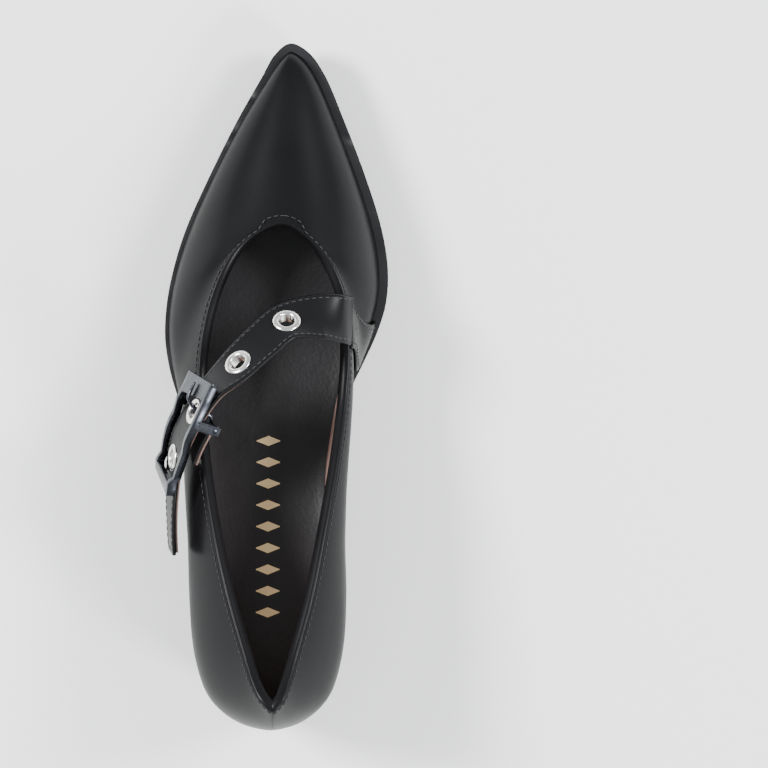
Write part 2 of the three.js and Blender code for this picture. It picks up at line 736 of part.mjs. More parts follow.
const flangeThickness = 0.7;
const washerThickness = 0.5;
const seating = 0.35; // the flange is flat and the strap is curved
const washerSeating = 0.7;
const eyeletTop = strapThickness + seating + flangeThickness;
const washerTop = strapLiningBottom - washerSeating;
const washerBottom = washerTop - washerThickness;

function eyelet() {
  const wall = eyeletBore + eyeletWall;
  const under = strapThickness + seating;
  return weld(new LatheGeometry([
    [eyeletBore, washerBottom], [wall, washerBottom], [wall, under], [eyeletFlange, under],
    [eyeletFlange - 0.3, eyeletTop - 0.1], [wall, eyeletTop], [eyeletBore, under], [eyeletBore, washerBottom],
  ].map(([x, y]) => new Vector2(x, y)), 16));
}

function washer() {
  const bore = eyeletBore + eyeletWall + clearance;
  return weld(new LatheGeometry([
    [bore, washerBottom], [eyeletFlange - 0.6, washerBottom], [eyeletFlange - 0.6, washerTop],
    [bore, washerTop], [bore, washerBottom],
  ].map(([x, y]) => new Vector2(x, y)), 16));
}

function seat(mesh, distance, lift) {
  const frame = strapFrame(distance, lift);
  frame.decompose(mesh.position, mesh.quaternion, mesh.scale);
}
eyeletPlaces.forEach((place, index) => {
  seat(piece(strap, `eyelet_${index + 1}`, outwardFacing(eyelet()), '#c9cacc', 0.25, 1), place, 0);
  seat(piece(strap, `eyelet_washer_${index + 1}`, outwardFacing(washer()), '#c9cacc', 0.3, 1), place, 0);
});

function outwardFacing(geometry) {
  const corner = geometry.attributes.position;
  const points = Array.from({ length: corner.count }, (_, i) => new Vector3().fromBufferAttribute(corner, i));
  return indexed(points, triangles(geometry, points.map((_, i) => i)));
}

// ---- Buckle -------------------------------------------------------------------------------------
// The casting goes straight forward from its bar and follows the strap behind it. Places on it are
// distances behind the bar, to the rear edge and outward from the strap.
const frameLow = 1.7;
const frameHigh = 4.7;
const plateLow = 3.3;
const plateFront = -13.5;
const plateRear = -5.8;
const keeperFront = 30;
const frameRear = 34.5;
const keeperLow = 2.6;
const armSink = 1.7; // the arms drop beside the strap
const keeperJog = 1.9; // and step out again to the keeper
const lugHalf = 2.3;
const forward = new Vector3(0.42, 0.9, 0.03).normalize();
const plateAcross = new Vector3(0.41, -0.16, 0.9);

const barOrigin = strapAxes(barPlace).origin;
const ahead = (distance) => barOrigin.clone().addScaledVector(forward, distance);
const followed = [9, 17, 25, frameRear].map((distance) => strapAxes(barPlace + distance));
const casting = ribbon(
  [ahead(-plateFront), ahead(-plateFront / 2), barOrigin, ...followed.map(({ origin }) => origin)],
  [plateAcross, plateAcross, plateAcross.clone().lerp(strapAxes(barPlace).across, 0.5),
    ...followed.map(({ across }) => across)]);
const framePoint = (distance, aside, lift) => casting.point(distance - plateFront, aside, lift);
const barAxes = casting.axes(-plateFront);

function frameBlock(from, to, left, right, low, high, columns = 1) {
  return toSolid(bentBox((u, v, w) => {
    const distance = lerp(from, to, u);
    return framePoint(distance, lerp(left, right, v), w > 0.5 ? high(distance) : low(distance));
  }, columns));
}

// A lug hangs under an arm, square to the bar that it carries.
function lug(left, right) {
  return toSolid(bentBox((u, v, w) => barAxes.origin.clone()
    .addScaledVector(barAxes.along, lerp(-lugHalf, lugHalf, u))
    .addScaledVector(barAxes.across, lerp(left, right, v))
    .addScaledVector(barAxes.outward, lerp(-barDepth - lugHalf, frameLow + 1, w)), 1));
}

const level = (height) => () => height;
const sink = (distance) => armSink * ease((distance - 2) / 10);
const jog = (distance) => keeperJog * ease((distance - keeperFront + 3) / 3);
const armHigh = (distance) => frameHigh - sink(distance) + jog(distance);
const armLow = (distance) => frameLow - sink(distance) + 0.8 * jog(distance);

function buckleFrame() {
  const inside = frameInside / 2;
  const outside = inside + frameRail;
  let frame = frameBlock(plateFront, plateRear, -outside, outside, level(plateLow), armHigh, 3)
    .add(frameBlock(keeperFront, frameRear, -outside, outside, level(keeperLow), armHigh, 1));
  for (const side of [-1, 1]) {
    const [left, right] = side < 0 ? [-outside, -inside] : [inside, outside];
    frame = frame
      .add(frameBlock(plateFront, frameRear, left, right, armLow, armHigh, 16))
      .add(lug(left, right));
  }
  const bore = rodBetween(framePoint(0, -outside - 1, -barDepth),
    framePoint(0, outside + 1, -barDepth), barRadius + clearance, 12);
  return toGeometry(frame.subtract(toSolid(bore)));
}
piece(buckle, 'buckle_frame', buckleFrame(), '#3a3f48', 0.25, 1);

const barHalf = frameInside / 2 + frameRail;
piece(buckle, 'buckle_bar', rodBetween(framePoint(0, -barHalf, -barDepth),
  framePoint(0, barHalf, -barDepth), barRadius, 12), '#3a3f48', 0.3, 1);

// The prong turns on the bar, comes up through the eyelet and lies on the front plate.
function prong() {
  const knuckleBore = barRadius + clearance;
  const knuckleRadius = knuckleBore + 0.9;
  const knuckleHalf = 1.6;
  const ring = new LatheGeometry([
    [knuckleBore, -knuckleHalf], [knuckleRadius, -knuckleHalf], [knuckleRadius, knuckleHalf],
    [knuckleBore, knuckleHalf], [knuckleBore, -knuckleHalf],
  ].map(([x, y]) => new Vector2(x, y)), 16);
  const turn = new Mesh();
  turn.quaternion.setFromUnitVectors(new Vector3(0, 1, 0), barAxes.across);
  turn.position.copy(framePoint(0, 0, -barDepth));
  turn.updateMatrix();
  const knuckle = outwardFacing(weld(ring)).applyMatrix4(turn.matrix);
  const restLift = frameHigh + prongRadius + clearance;
  const path = new CatmullRomCurve3([
    [0, -barDepth + knuckleBore + 0.45], [-1, -1.5], [-1.9, 1.5], [-2.6, 3.2], [-4, 5.2],
    [-6.2, restLift], [-8.5, restLift], [-11, restLift - 0.1],
  ].map(([distance, lift]) => framePoint(distance, 0, lift)));
  const section = new Shape().absarc(0, 0, prongRadius, 0, 2 * Math.PI);
  const rod = new ExtrudeGeometry(section, { steps: 14, curveSegments: 5, extrudePath: path });
  return toGeometry(toSolid(knuckle).add(toSolid(rod)));
}
piece(buckle, 'buckle_prong', prong(), '#44484f', 0.25, 1);

// The elastic tab holds the bar to the outer quarter, under the strap. Its backing lies on it.
const tabWidth = 15;
const tabThickness = 1.1;
const tabFrom = barRadius + 2.6;
const tabTo = tabFrom + 18;
const tabLift = -barDepth + 0.3;
const tabLayer = (outer, inner) => sheet(
  (u, v) => framePoint(lerp(tabFrom, tabTo, u), (v - 0.5) * tabWidth, tabLift), 8, 2, outer, inner);
const backingThickness = 0.7;
const backingTop = -tabThickness - clearance;
piece(buckle, 'elastic_tab', tabLayer(0, -tabThickness), '#121214', 0.85);
piece(buckle, 'tab_backing', tabLayer(backingTop, backingTop - backingThickness), '#6f5d55', 0.85);

export default shoe;
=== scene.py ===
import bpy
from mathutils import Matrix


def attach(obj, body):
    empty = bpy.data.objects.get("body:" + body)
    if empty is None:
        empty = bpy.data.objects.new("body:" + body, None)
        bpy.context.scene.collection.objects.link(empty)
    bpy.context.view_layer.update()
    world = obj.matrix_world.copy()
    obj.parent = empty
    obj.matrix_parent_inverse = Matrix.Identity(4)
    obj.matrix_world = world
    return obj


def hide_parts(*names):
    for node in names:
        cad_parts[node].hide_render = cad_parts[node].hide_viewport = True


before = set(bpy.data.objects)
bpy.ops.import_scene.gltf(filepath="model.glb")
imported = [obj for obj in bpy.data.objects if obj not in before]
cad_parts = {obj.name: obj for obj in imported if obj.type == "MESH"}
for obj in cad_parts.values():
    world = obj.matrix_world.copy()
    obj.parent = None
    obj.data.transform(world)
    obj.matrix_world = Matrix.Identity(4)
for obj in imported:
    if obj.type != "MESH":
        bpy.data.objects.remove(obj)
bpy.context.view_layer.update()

import math
from bisect import bisect_right

import bmesh
import bpy
from mathutils import Matrix, Vector

MM = 0.001

# ---- Stage --------------------------------------------------
# A pale seamless floor in an even, nearly white surround, three soft boxes that draw the shoulders of
# the black leather, and a camera that looks straight down on the shoe. Lengths here are metres.
FLOOR_SIZE = 8.0
FLOOR_COLOUR = (0.86, 0.875, 0.86)
FLOOR_DROP = 0.0003
CAMERA_AT = Vector((45.2, 94.4, 1539)) * MM
CAMERA_LENS = 180
WORLD_COLOUR = (0.95, 0.98, 1.0, 1)
WORLD_STRENGTH = 0.8
LIGHT_AIM = Vector((0, 0.1, 0.03))
SOFT_BOXES = {  # place, width and height, power
    "key_box_left": ((-1.3, 0.5, 1.35), (0.5, 0.5), 72),
    "key_box_right": ((1.35, 0.5, 1.3), (0.5, 0.5), 40),
    "back_box": ((1.2, -0.9, 1.2), (0.5, 0.4), 34),
}


def new_material(name, colour, roughness, metallic=0.0):
    """A material with its Principled shader, ready for texture nodes."""
    material = bpy.data.materials.new(name)
    material.use_nodes = True
    shader = material.node_tree.nodes["Principled BSDF"]
    shader.inputs["Base Color"].default_value = (*colour, 1)
    shader.inputs["Roughness"].default_value = roughness
    shader.inputs["Metallic"].default_value = metallic
    return material, shader


def node(material, kind, **values):
    """A node in the material with some of its inputs or settings filled in."""
    made = material.node_tree.nodes.new(kind)
    for key, value in values.items():
        if key in made.inputs:
            made.inputs[key].default_value = value
        else:
            setattr(made, key, value)
    return made


def link(material, source, target):
    material.node_tree.links.new(source, target)


def stage_floor():
    bm = bmesh.new()
    bmesh.ops.create_grid(bm, x_segments=1, y_segments=1, size=FLOOR_SIZE / 2)
    bmesh.ops.translate(bm, verts=bm.verts, vec=(0, 0, -FLOOR_DROP))
    mesh = bpy.data.meshes.new("floor")
    bm.to_mesh(mesh)
    bm.free()
    floor = bpy.data.objects.new("floor", mesh)
    bpy.context.scene.collection.objects.link(floor)
    material, shader = new_material("floor_paper", FLOOR_COLOUR, 0.9)
    shader.inputs["Specular IOR Level"].default_value = 0.1
    mesh.materials.append(material)


def stage_light():
    for name, (place, size, power) in SOFT_BOXES.items():
        light = bpy.data.lights.new(name, "AREA")
        light.shape = "RECTANGLE"
        light.size, light.size_y = size
        light.energy = power
        lamp = bpy.data.objects.new(name, light)
        lamp.location = place
        lamp.rotation_euler = (LIGHT_AIM - Vector(place)).to_track_quat("-Z", "Y").to_euler()
        bpy.context.scene.collection.objects.link(lamp)
    world = bpy.data.worlds.new("studio")
    world.use_nodes = True
    background = world.node_tree.nodes["Background"]
    background.inputs["Color"].default_value = WORLD_COLOUR
    background.inputs["Strength"].default_value = WORLD_STRENGTH
    bpy.context.scene.world = world


def stage_camera():
    camera = bpy.data.cameras.new("camera")
    camera.lens = CAMERA_LENS
    camera.clip_end = 50
    holder = bpy.data.objects.new("camera", camera)
    holder.location = CAMERA_AT
    bpy.context.scene.collection.objects.link(holder)
    bpy.context.scene.camera = holder


stage_floor()
stage_light()
stage_camera()

# ---- Outsole ------------------------------------------------
# One moulding of black rubber: a thin plate that rises to the toe and to the waist, with a row of
# square cleats along both edges and bars under the middle. It stops against the heel's breast.
# Lengths are millimetres, turned into metres as each piece is finished.
CLEARANCE = 0.3  # air between pieces that touch
HEEL_SEAT = 25.8  # top of the welt at the back of the heel
BALL_HEIGHT = 9.6  # and under the ball of the foot
TOE_SPRING = 10.2
WELT_THICKNESS = 2.4
HEEL_BREAST = 27
BREAST_GAP = 2.2
HEEL_LEAN = 4.4  # how far the heel leans back from the ground to the seat
CLEAT_PITCH = 9.2
CLEAT_LENGTH = 6.2
CLEAT_DEPTH = 10.5
CLEAT_SPARE = 2.5  # least distance from a cleat to the sole's middle
CLEAT_INSET = 0.7
CLEATS_FROM, CLEATS_TO = 38.0, 212
TREAD_BARS = ((60, 18, 8), (85, 18, 8), (109, 26, 10), (140, 18, 8), (165, 18, 8), (190, 18, 8))
FLAT_BAR = 109  # the bar under the ball that the shoe rests on


def profile(points):
    """A smooth value against Y through (y, value) points."""
    def slope(i):
        a, b = points[max(i - 1, 0)], points[min(i + 1, len(points) - 1)]
        return (b[1] - a[1]) / (b[0] - a[0])

    def value(y):
        x = min(max(y, points[0][0]), points[-1][0])
        i = min(max(bisect_right([p[0] for p in points], x) - 1, 0), len(points) - 2)
        (x0, v0), (x1, v1) = points[i], points[i + 1]
        w = x1 - x0
        t = (x - x0) / w
        bend = t * (1 - t) * w * ((1 - t) * slope(i) - t * slope(i + 1))
        return v0 + (v1 - v0) * t * t * (3 - 2 * t) + bend
    return value


def spline(points, closed):
    """A centripetal Catmull-Rom curve, read at a place counted in points."""
    count = len(points)

    def at(place):
        i = math.floor(place)
        t = place - i
        if not closed and i >= count - 1:
            i, t = count - 2, 1.0
        p1, p2 = points[i % count], points[(i + 1) % count]
        p0 = points[(i - 1) % count] if closed or i > 0 else 2 * points[0] - points[1]
        last = 2 * points[-1] - points[-2]
        p3 = points[(i + 2) % count] if closed or i + 2 < count else last
        d0, d1, d2 = (math.sqrt((b - a).length) for a, b in ((p0, p1), (p1, p2), (p2, p3)))
        d1 = d1 if d1 > 1e-4 else 1.0
        d0 = d0 if d0 > 1e-4 else d1
        d2 = d2 if d2 > 1e-4 else d1
        m1 = ((p1 - p0) / d0 - (p2 - p0) / (d0 + d1) + (p2 - p1) / d1) * d1
        m2 = ((p2 - p1) / d1 - (p3 - p1) / (d1 + d2) + (p3 - p2) / d2) * d1
        return (p1 + m1 * t + (-3 * p1 + 3 * p2 - 2 * m1 - m2) * t * t
                + (2 * p1 - 2 * p2 + m1 + m2) * t * t * t)
    return at


heel_rise = profile([(-40, 1), (0, 0.95), (26, 0.86), (35, 0.74), (47, 0.58), (63, 0.38), (79, 0.22),
                     (95, 0.07), (108, 0)])
toe_rise = profile([(108, 0), (127, 0.2), (146, 0.39), (166, 0.55), (186, 0.7), (206, 0.82), (230, 1)])
plate_depth = profile([(27, 5.2), (47, 5.4), (79, 5.8), (108, 6.4), (146, 7.6), (186, 7.7), (230, 7)])
tread_depth = profile([(27, 7), (47, 7.4), (71, 8.2), (95, 9.4), (103, 9.6), (108, 9.6), (112, 9.8),
                       (127, 11), (146, 11.4), (166, 10.6), (186, 9.8), (206, 9.2), (230, 8.6)])

SOLE_TIP = (8.2, 229.2)
SOLE_BACK = (0, -36.3)
MEDIAL_SOLE = [
    (15.2, 225.8), (21.6, 217), (29.3, 199), (37.8, 176.8), (44.4, 155.5), (46.8, 139.6), (46, 126.5),
    (42.3, 114.5), (36.8, 102.5), (31, 90), (26.8, 75), (23.5, 55), (24, 35), (26, 10), (25.8, -12),
    (21.5, -27), (11.5, -35)]
LATERAL_SOLE = [
    (2.2, 225), (-3.2, 215.8), (-12.8, 199), (-24, 176.8), (-33.6, 155.5), (-38.6, 139.6),
    (-41.2, 126.5), (-42, 113), (-40.3, 101), (-36.8, 89), (-31.8, 75), (-27, 55), (-25.6, 35),
    (-26, 10), (-25.8, -12), (-21.5, -27), (-11.5, -35)]
BACK = len(MEDIAL_SOLE) + 1  # station of the heel's back
AROUND = 2 * BACK
sole_loop = spline([Vector((x, y, 0)) for x, y in
                    [SOLE_TIP, *MEDIAL_SOLE, SOLE_BACK, *reversed(LATERAL_SOLE)]], closed=True)


def welt_top(y):
    return BALL_HEIGHT + (HEEL_SEAT - BALL_HEIGHT) * heel_rise(y) + TOE_SPRING * toe_rise(y)


def sole_edge(station, inset=0.0):
    """The sole's edge in plan, moved inwards, and its outward direction. Stations run round the
    shoe from the toe by the inner side to the heel and back by the outer side."""
    point = sole_loop(station % AROUND)
    along = (sole_loop((station + 0.02) % AROUND) - sole_loop((station - 0.02) % AROUND)).normalized()
    outward = Vector((-along.y, along.x, 0))
    return point - outward * inset, outward


def station_at(y):
    near, far = 0.0, float(BACK)
    for _ in range(24):
        middle = (near + far) / 2
        if sole_edge(middle)[0].y > y:
            near = middle
        else:
            far = middle
    return near


def finish_piece(name, bm, material, slot, body="shoe", stands_for=(), sharp=35, thickness=None):
    """Makes the piece's object, smooth but for its sharp edges, and ties it to the frame. A sheet
    gets its thickness below the side that its faces show."""
    if thickness is None:
        bmesh.ops.recalc_face_normals(bm, faces=bm.faces)
    bmesh.ops.scale(bm, verts=bm.verts, vec=(MM, MM, MM))
    mesh = bpy.data.meshes.new(name)
    bm.to_mesh(mesh)
    bm.free()
    mesh.materials.append(material)
    mesh.shade_smooth()
    mesh.set_sharp_from_angle(angle=math.radians(sharp))
    piece = bpy.data.objects.new(name, mesh)
    bpy.context.scene.collection.objects.link(piece)
    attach(piece, body)
    if stands_for:
        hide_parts(*stands_for)
    if thickness is not None:
        shell = piece.modifiers.new("thickness", "SOLIDIFY")
        shell.thickness = thickness * MM
        shell.offset = -1
    return piece


def round_edges(bm, width, angle=40, segments=2):
    """Rounds every edge sharper than the angle."""
    edges = [e for e in bm.edges if len(e.link_faces) == 2
             and e.calc_face_angle(0) > math.radians(angle)]
    bmesh.ops.bevel(bm, geom=edges, offset=width, segments=segments, profile=0.5, affect="EDGES",
                    material=-1, clamp_overlap=True)


def plate(edge, first, last, top, bottom, shift=0.0, rows=150, columns=8, curl=0.0):
    """A closed plate between the two sides of an edge loop, thick from bottom(y) to top(y). With
    curl its sides turn up a little."""
    bm = bmesh.new()
    bmesh.ops.create_grid(bm, x_segments=columns, y_segments=rows, size=0.5)
    for vert in bm.verts:
        u, v = vert.co.x + 0.5, vert.co.y + 0.5
        # rows crowd towards both ends, where the outline turns
        station = first + (last - first) * (1 - math.cos(math.pi * v)) / 2
        vert.co = edge(-station).lerp(edge(station), u)
        vert.co.z = top(vert.co.y) + curl * (2 * u - 1) ** 6
    bmesh.ops.remove_doubles(bm, verts=bm.verts, dist=0.02)
    skin = bmesh.ops.extrude_face_region(bm, geom=bm.faces[:])
    for vert in [g for g in skin["geom"] if isinstance(g, bmesh.types.BMVert)]:
        vert.co.z = bottom(vert.co.y)
    for vert in bm.verts:
        vert.co.y += shift
    bmesh.ops.recalc_face_normals(bm, faces=bm.faces)
    return bm


def flush_edge(station):
    return sole_edge(station)[0]


def cleat_block(bm, side, y, depth, top, bottom, shift=0.0):
    """One cleat from the edge of the sole inwards, its outer corners rounded."""
    block = bmesh.ops.create_cube(bm, size=1)
    for vert in block["verts"]:
        u, v, w = vert.co + Vector((0.5, 0.5, 0.5))
        station = station_at(y + (v - 0.5) * CLEAT_LENGTH)
        point = sole_edge(side * station, CLEAT_INSET)[0]
        middle = SOLE_TIP[0] * y / SOLE_TIP[1]
        point.x -= math.copysign(u * depth, point.x - middle)
        vert.co = (point.x, point.y + shift, top(point.y) if w > 0.5 else bottom(point.y))
    round_block(bm, block["verts"], 0.7)


def round_block(bm, verts, width):
    edges = list({edge for vert in verts for edge in vert.link_edges})
    bmesh.ops.bevel(bm, geom=edges, offset=width, segments=2, profile=0.5, affect="EDGES", material=-1,
                    clamp_overlap=True)


def pattern_group(name, inputs, outputs):
    """A node group of patterns with its number sockets, and its nodes for the piece's own place."""
    group = bpy.data.node_groups.new(name, "ShaderNodeTree")
    for way, sockets in (("INPUT", inputs), ("OUTPUT", outputs)):
        for socket in sockets:
            group.interface.new_socket(socket, in_out=way, socket_type="NodeSocketFloat")
    kinds = ("NodeGroupInput", "NodeGroupOutput", "ShaderNodeTexCoord")
    ends = [group.nodes.new(kind) for kind in kinds]
    return group, group.nodes, group.links, *ends


def speckle_group():
    """Fine mineral speckle and slow blotches, for rubber, board and cork."""
    group, nodes, links, entry, out, place = pattern_group("speckle", ["Scale"], ["Height", "Blotch"])
    fine, slow = nodes.new("ShaderNodeTexNoise"), nodes.new("ShaderNodeTexNoise")
    fine.inputs["Detail"].default_value = 6
    slow.inputs["Scale"].default_value = 70
    slow.inputs["Detail"].default_value = 3
    links.new(entry.outputs["Scale"], fine.inputs["Scale"])
    for texture, result in ((fine, "Height"), (slow, "Blotch")):
        links.new(place.outputs["Object"], texture.inputs["Vector"])
        links.new(texture.outputs["Fac"], out.inputs[result])
    return group


SPECKLE = speckle_group()


def dress(material, shader, pattern, relief, colours, roughness, strength, depth):
    """Lets a pattern run between two colours and two roughnesses, and a relief raise the surface."""
    tone = node(material, "ShaderNodeMix", data_type="RGBA")
    rough = node(material, "ShaderNodeMapRange", **{"From Min": 0.3, "From Max": 0.7})
    bump = node(material, "ShaderNodeBump", Strength=strength, Distance=depth * MM)
    for socket, colour in zip("AB", colours):
        tone.inputs[socket].default_value = (*colour, 1)
    for socket, value in zip(("To Min", "To Max"), roughness):
        rough.inputs[socket].default_value = value
    link(material, pattern, tone.inputs["Factor"])
    link(material, pattern, rough.inputs["Value"])
    link(material, relief, bump.inputs["Height"])
    link(material, tone.outputs["Result"], shader.inputs["Base Color"])
    link(material, rough.outputs["Result"], shader.inputs["Roughness"])
    link(material, bump.outputs["Normal"], shader.inputs["Normal"])
    return bump


def speckled(name, colour, worn, roughness, scale=1400, depth=0.05, metallic=0.0):
    """A matt moulded or pressed stuff: two tones in blotches, rough in its grain."""
    material, shader = new_material(name, colour, roughness, metallic)
    grain = node(material, "ShaderNodeGroup", node_tree=SPECKLE)
    grain.inputs["Scale"].default_value = scale
    dress(material, shader, grain.outputs["Blotch"], grain.outputs["Height"], (colour, worn),
          (roughness - 0.08, roughness + 0.08), 0.5, depth)
    shader.inputs["Specular IOR Level"].default_value = 0.12
    return material


def build_outsole():
    def plate_bottom(y):
        return welt_top(y) - plate_depth(y)

    def tread(y):
        return max(welt_top(y) - tread_depth(y), 0)

    end = station_at(HEEL_BREAST + BREAST_GAP)
    bm = plate(flush_edge, 0, end, lambda y: welt_top(y) - WELT_THICKNESS - CLEARANCE, plate_bottom)
    round_edges(bm, 0.5)
    y = CLEATS_FROM
    while y < CLEATS_TO:
        for side in (1, -1):
            reach = abs(sole_edge(side * station_at(y))[0].x - SOLE_TIP[0] * y / SOLE_TIP[1])
            depth = min(CLEAT_DEPTH, reach - CLEAT_SPARE)
            cleat_block(bm, side, y, depth, lambda q: plate_bottom(q) + 1, tread)
        y += CLEAT_PITCH
    for y, width, length in TREAD_BARS:
        bar = bmesh.ops.create_cube(bm, size=1)
        for vert in bar["verts"]:
            x, along, w = vert.co
            place = y + along * length
            ground = 0 if y == FLAT_BAR else tread(place)
            height = plate_bottom(place) + 1 if w > 0 else ground
            vert.co = (SOLE_TIP[0] * y / SOLE_TIP[1] + x * width, place, height)
        round_block(bm, bar["verts"], 0.6)
    rubber = speckled("outsole_rubber", (0.012, 0.012, 0.014), (0.02, 0.02, 0.022), 0.62)
    finish_piece("outsole_moulding", bm, rubber, "outsole_rubber", stands_for=["outsole"])


build_outsole()

# ---- Welt ---------------------------------------------------
# A strip of satin black rubber all round, on which the upper stands. It shows as a ledge outside the
# forefoot and carries on over the heel as its uppermost layer.
def build_welt():
    bm = plate(flush_edge, 0, BACK, welt_top, lambda y: welt_top(y) - WELT_THICKNESS)
    round_edges(bm, 0.55, segments=3)
    edge = speckled("welt_rubber", (0.011, 0.011, 0.012), (0.018, 0.018, 0.02), 0.42, 900, 0.03)
    finish_piece("welt_strip", bm, edge, "welt_rubber", stands_for=["midsole_welt"])


build_welt()

# ---- Heel ---------------------------------------------------
# Nine thin lifts, stained black and polished on the edge, stacked between the welt and a rubber top
# piece with its own cleats. The stack leans back from the ground to the seat.
TOP_PIECE = 5.0  # height of the top piece's upper face
CLEAT_HEIGHT = 1.5
HEEL_CLEAT_DEPTH = 8
HEEL_CLEATS = (HEEL_BREAST - 7, -26)  # they run backwards from the first, short of the second
LIFTS = 9
LIFT_GROOVE = (0.12, 0.03)  # left above and below a lift
HEEL_PAD = (22, 18, 2.5)  # the flat pad that the heel rests on


def streaks(material, stretch, detail):
    """Noise squeezed by the stretch along each axis, so that it draws lines."""
    place = node(material, "ShaderNodeTexCoord")
    squeeze = node(material, "ShaderNodeMapping")
    squeeze.inputs["Scale"].default_value = stretch
    noise = node(material, "ShaderNodeTexNoise", Scale=1.0, Detail=detail)
    link(material, place.outputs["Object"], squeeze.inputs["Vector"])
    link(material, squeeze.outputs["Vector"], noise.inputs["Vector"])
    return noise.outputs["Fac"]


def polished_lift():
    """Layered black edge: fine horizontal streaks, glossier where it was waxed."""
    material, shader = new_material("stacked_lift", (0.012, 0.01, 0.009), 0.33)
    layers = streaks(material, (60, 60, 2600), 5.0)
    dress(material, shader, layers, layers,
          ((0.006, 0.005, 0.005), (0.016, 0.013, 0.012)), (0.24, 0.42), 0.4, 0.05)
    shader.inputs["Specular IOR Level"].default_value = 0.1
    shader.inputs["Coat Weight"].default_value = 0.1
    shader.inputs["Coat Roughness"].default_value = 0.2
    return material


def build_heel():
    breast = station_at(HEEL_BREAST)
    edge = polished_lift()

    def level(share):
        def height(y):
            seat = welt_top(y) - WELT_THICKNESS - CLEARANCE
            base = TOP_PIECE + CLEARANCE
            return base + (seat - base) * share
        return height

    for index in range(LIFTS):
        top, bottom = level((index + 1) / LIFTS), level(index / LIFTS)
        lean = HEEL_LEAN * (1 - (index + 0.5) / LIFTS)
        bm = plate(flush_edge, breast, BACK, lambda y: top(y) - LIFT_GROOVE[0],
                   lambda y: bottom(y) + LIFT_GROOVE[1], lean, rows=70, columns=4)
        round_edges(bm, 0.22)
        finish_piece(f"lift_{index + 1}", bm, edge, "stacked_lift",
                     stands_for=[f"heel_lift_{index + 1}"])

    bm = plate(flush_edge, breast, BACK, lambda y: TOP_PIECE, lambda y: CLEAT_HEIGHT, HEEL_LEAN,
               rows=70, columns=4)
    round_edges(bm, 0.4)
    y, rearmost = HEEL_CLEATS
    while y > rearmost:
        for side in (1, -1):
            cleat_block(bm, side, y, HEEL_CLEAT_DEPTH, lambda q: CLEAT_HEIGHT + 1, lambda q: 0.0,
                        HEEL_LEAN)
        y -= CLEAT_PITCH
    pad = bmesh.ops.create_cube(bm, size=1, matrix=Matrix.Translation((0, 0, HEEL_PAD[2] / 2))
                                @ Matrix.Diagonal((*HEEL_PAD, 1)))
    round_block(bm, pad["verts"], 0.6)
    rubber = bpy.data.materials["outsole_rubber"]
    finish_piece("top_piece", bm, rubber, "outsole_rubber", stands_for=["heel_top_piece"])


build_heel()

# ---- Inside the bottom unit ---------------------------------
# The steel shank, the cork filler, the fibre board, the foam and the screw and nails of the heel are
# hidden in a finished shoe. They keep the frame's own shapes.
FIBRE_BOARD = ("fibre_board", (0.42, 0.34, 0.24), (0.34, 0.27, 0.18), 0.9, 0.0)
FASTENER_STEEL = ("fastener_steel", (0.55, 0.55, 0.53), (0.4, 0.4, 0.38), 0.35, 1.0)
INNER_FINISHES = {
    "shank": ("shank_steel", (0.4, 0.41, 0.42), (0.28, 0.29, 0.3), 0.38, 1.0),
    "forefoot_filler": ("cork", (0.42, 0.27, 0.14), (0.22, 0.12, 0.06), 0.9, 0.0),
    **dict.fromkeys(("insole_board", "toe_puff", "heel_counter"), FIBRE_BOARD),
    "sock_padding": ("padding_foam", (0.66, 0.58, 0.4), (0.6, 0.5, 0.34), 0.95, 0.0),
    **dict.fromkeys(("heel_screw", *(f"heel_nail_{n}" for n in range(1, 5))), FASTENER_STEEL),
}


def dress_inner_parts():
    made = {}
    for part, (finish, colour, worn, roughness, metallic) in INNER_FINISHES.items():
        if finish not in made:
            made[finish] = speckled(finish, colour, worn, roughness, 900, 0.06, metallic)
        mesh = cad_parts[part].data
        mesh.materials.clear()
        mesh.materials.append(made[finish])


dress_inner_parts()

# ---- Upper --------------------------------------------------
# Black calf, smooth and fairly glossy: a pointed vamp and two quarters, lasted over the same form.
# Vamp and quarters meet under the strap's base on the inner side and behind the buckle outside.
RIDGE = [(7.6, 225.2, 2.6), (7.5, 222.6, 6.5), (7.3, 217.5, 9.7), (7, 205, 14.9), (6.7, 188, 20.5),
         (6.3, 171.5, 26), (5.9, 157.3, 31.9)]
MEDIAL_TOP = [
    (15.5, 151.6, 32.5), (24.5, 141.5, 32.9), (29.8, 129.5, 33.6), (31.6, 109, 35), (30.4, 89, 35.3),
    (27.2, 64.5, 40), (22.6, 38.5, 43.3), (17.3, 12, 47.6), (11.8, -8.5, 52.6), (8.9, -19.5, 57),
    (6.9, -25.6, 59.8)]
LATERAL_TOP = [
    (-4.5, 153.2, 32.2), (-13.5, 145.5, 32.5), (-20.8, 131.5, 33.4), (-25.5, 113.5, 34.5),
    (-27, 93, 34.6), (-24.9, 66, 39.8), (-20.2, 38, 43.5), (-14.3, 13, 47.4), (-8.2, -7.5, 52.4),
    (-4.5, -19.3, 56.8), (-1.2, -25.6, 59.7)]
TOP_BACK = (3, -29.4, 60.4)
THROAT = len(RIDGE) - 1  # station where the opening starts
UPPER_THICKNESS = 1.2
LATERAL_SEAM = -11.0
MEDIAL_SEAM = (8.8, 0.8)  # at the foot, and how much farther back at the top
SEAM_GAP = 0.012  # in stations
VAMP_SMOOTHING = 40
WELD = 0.004

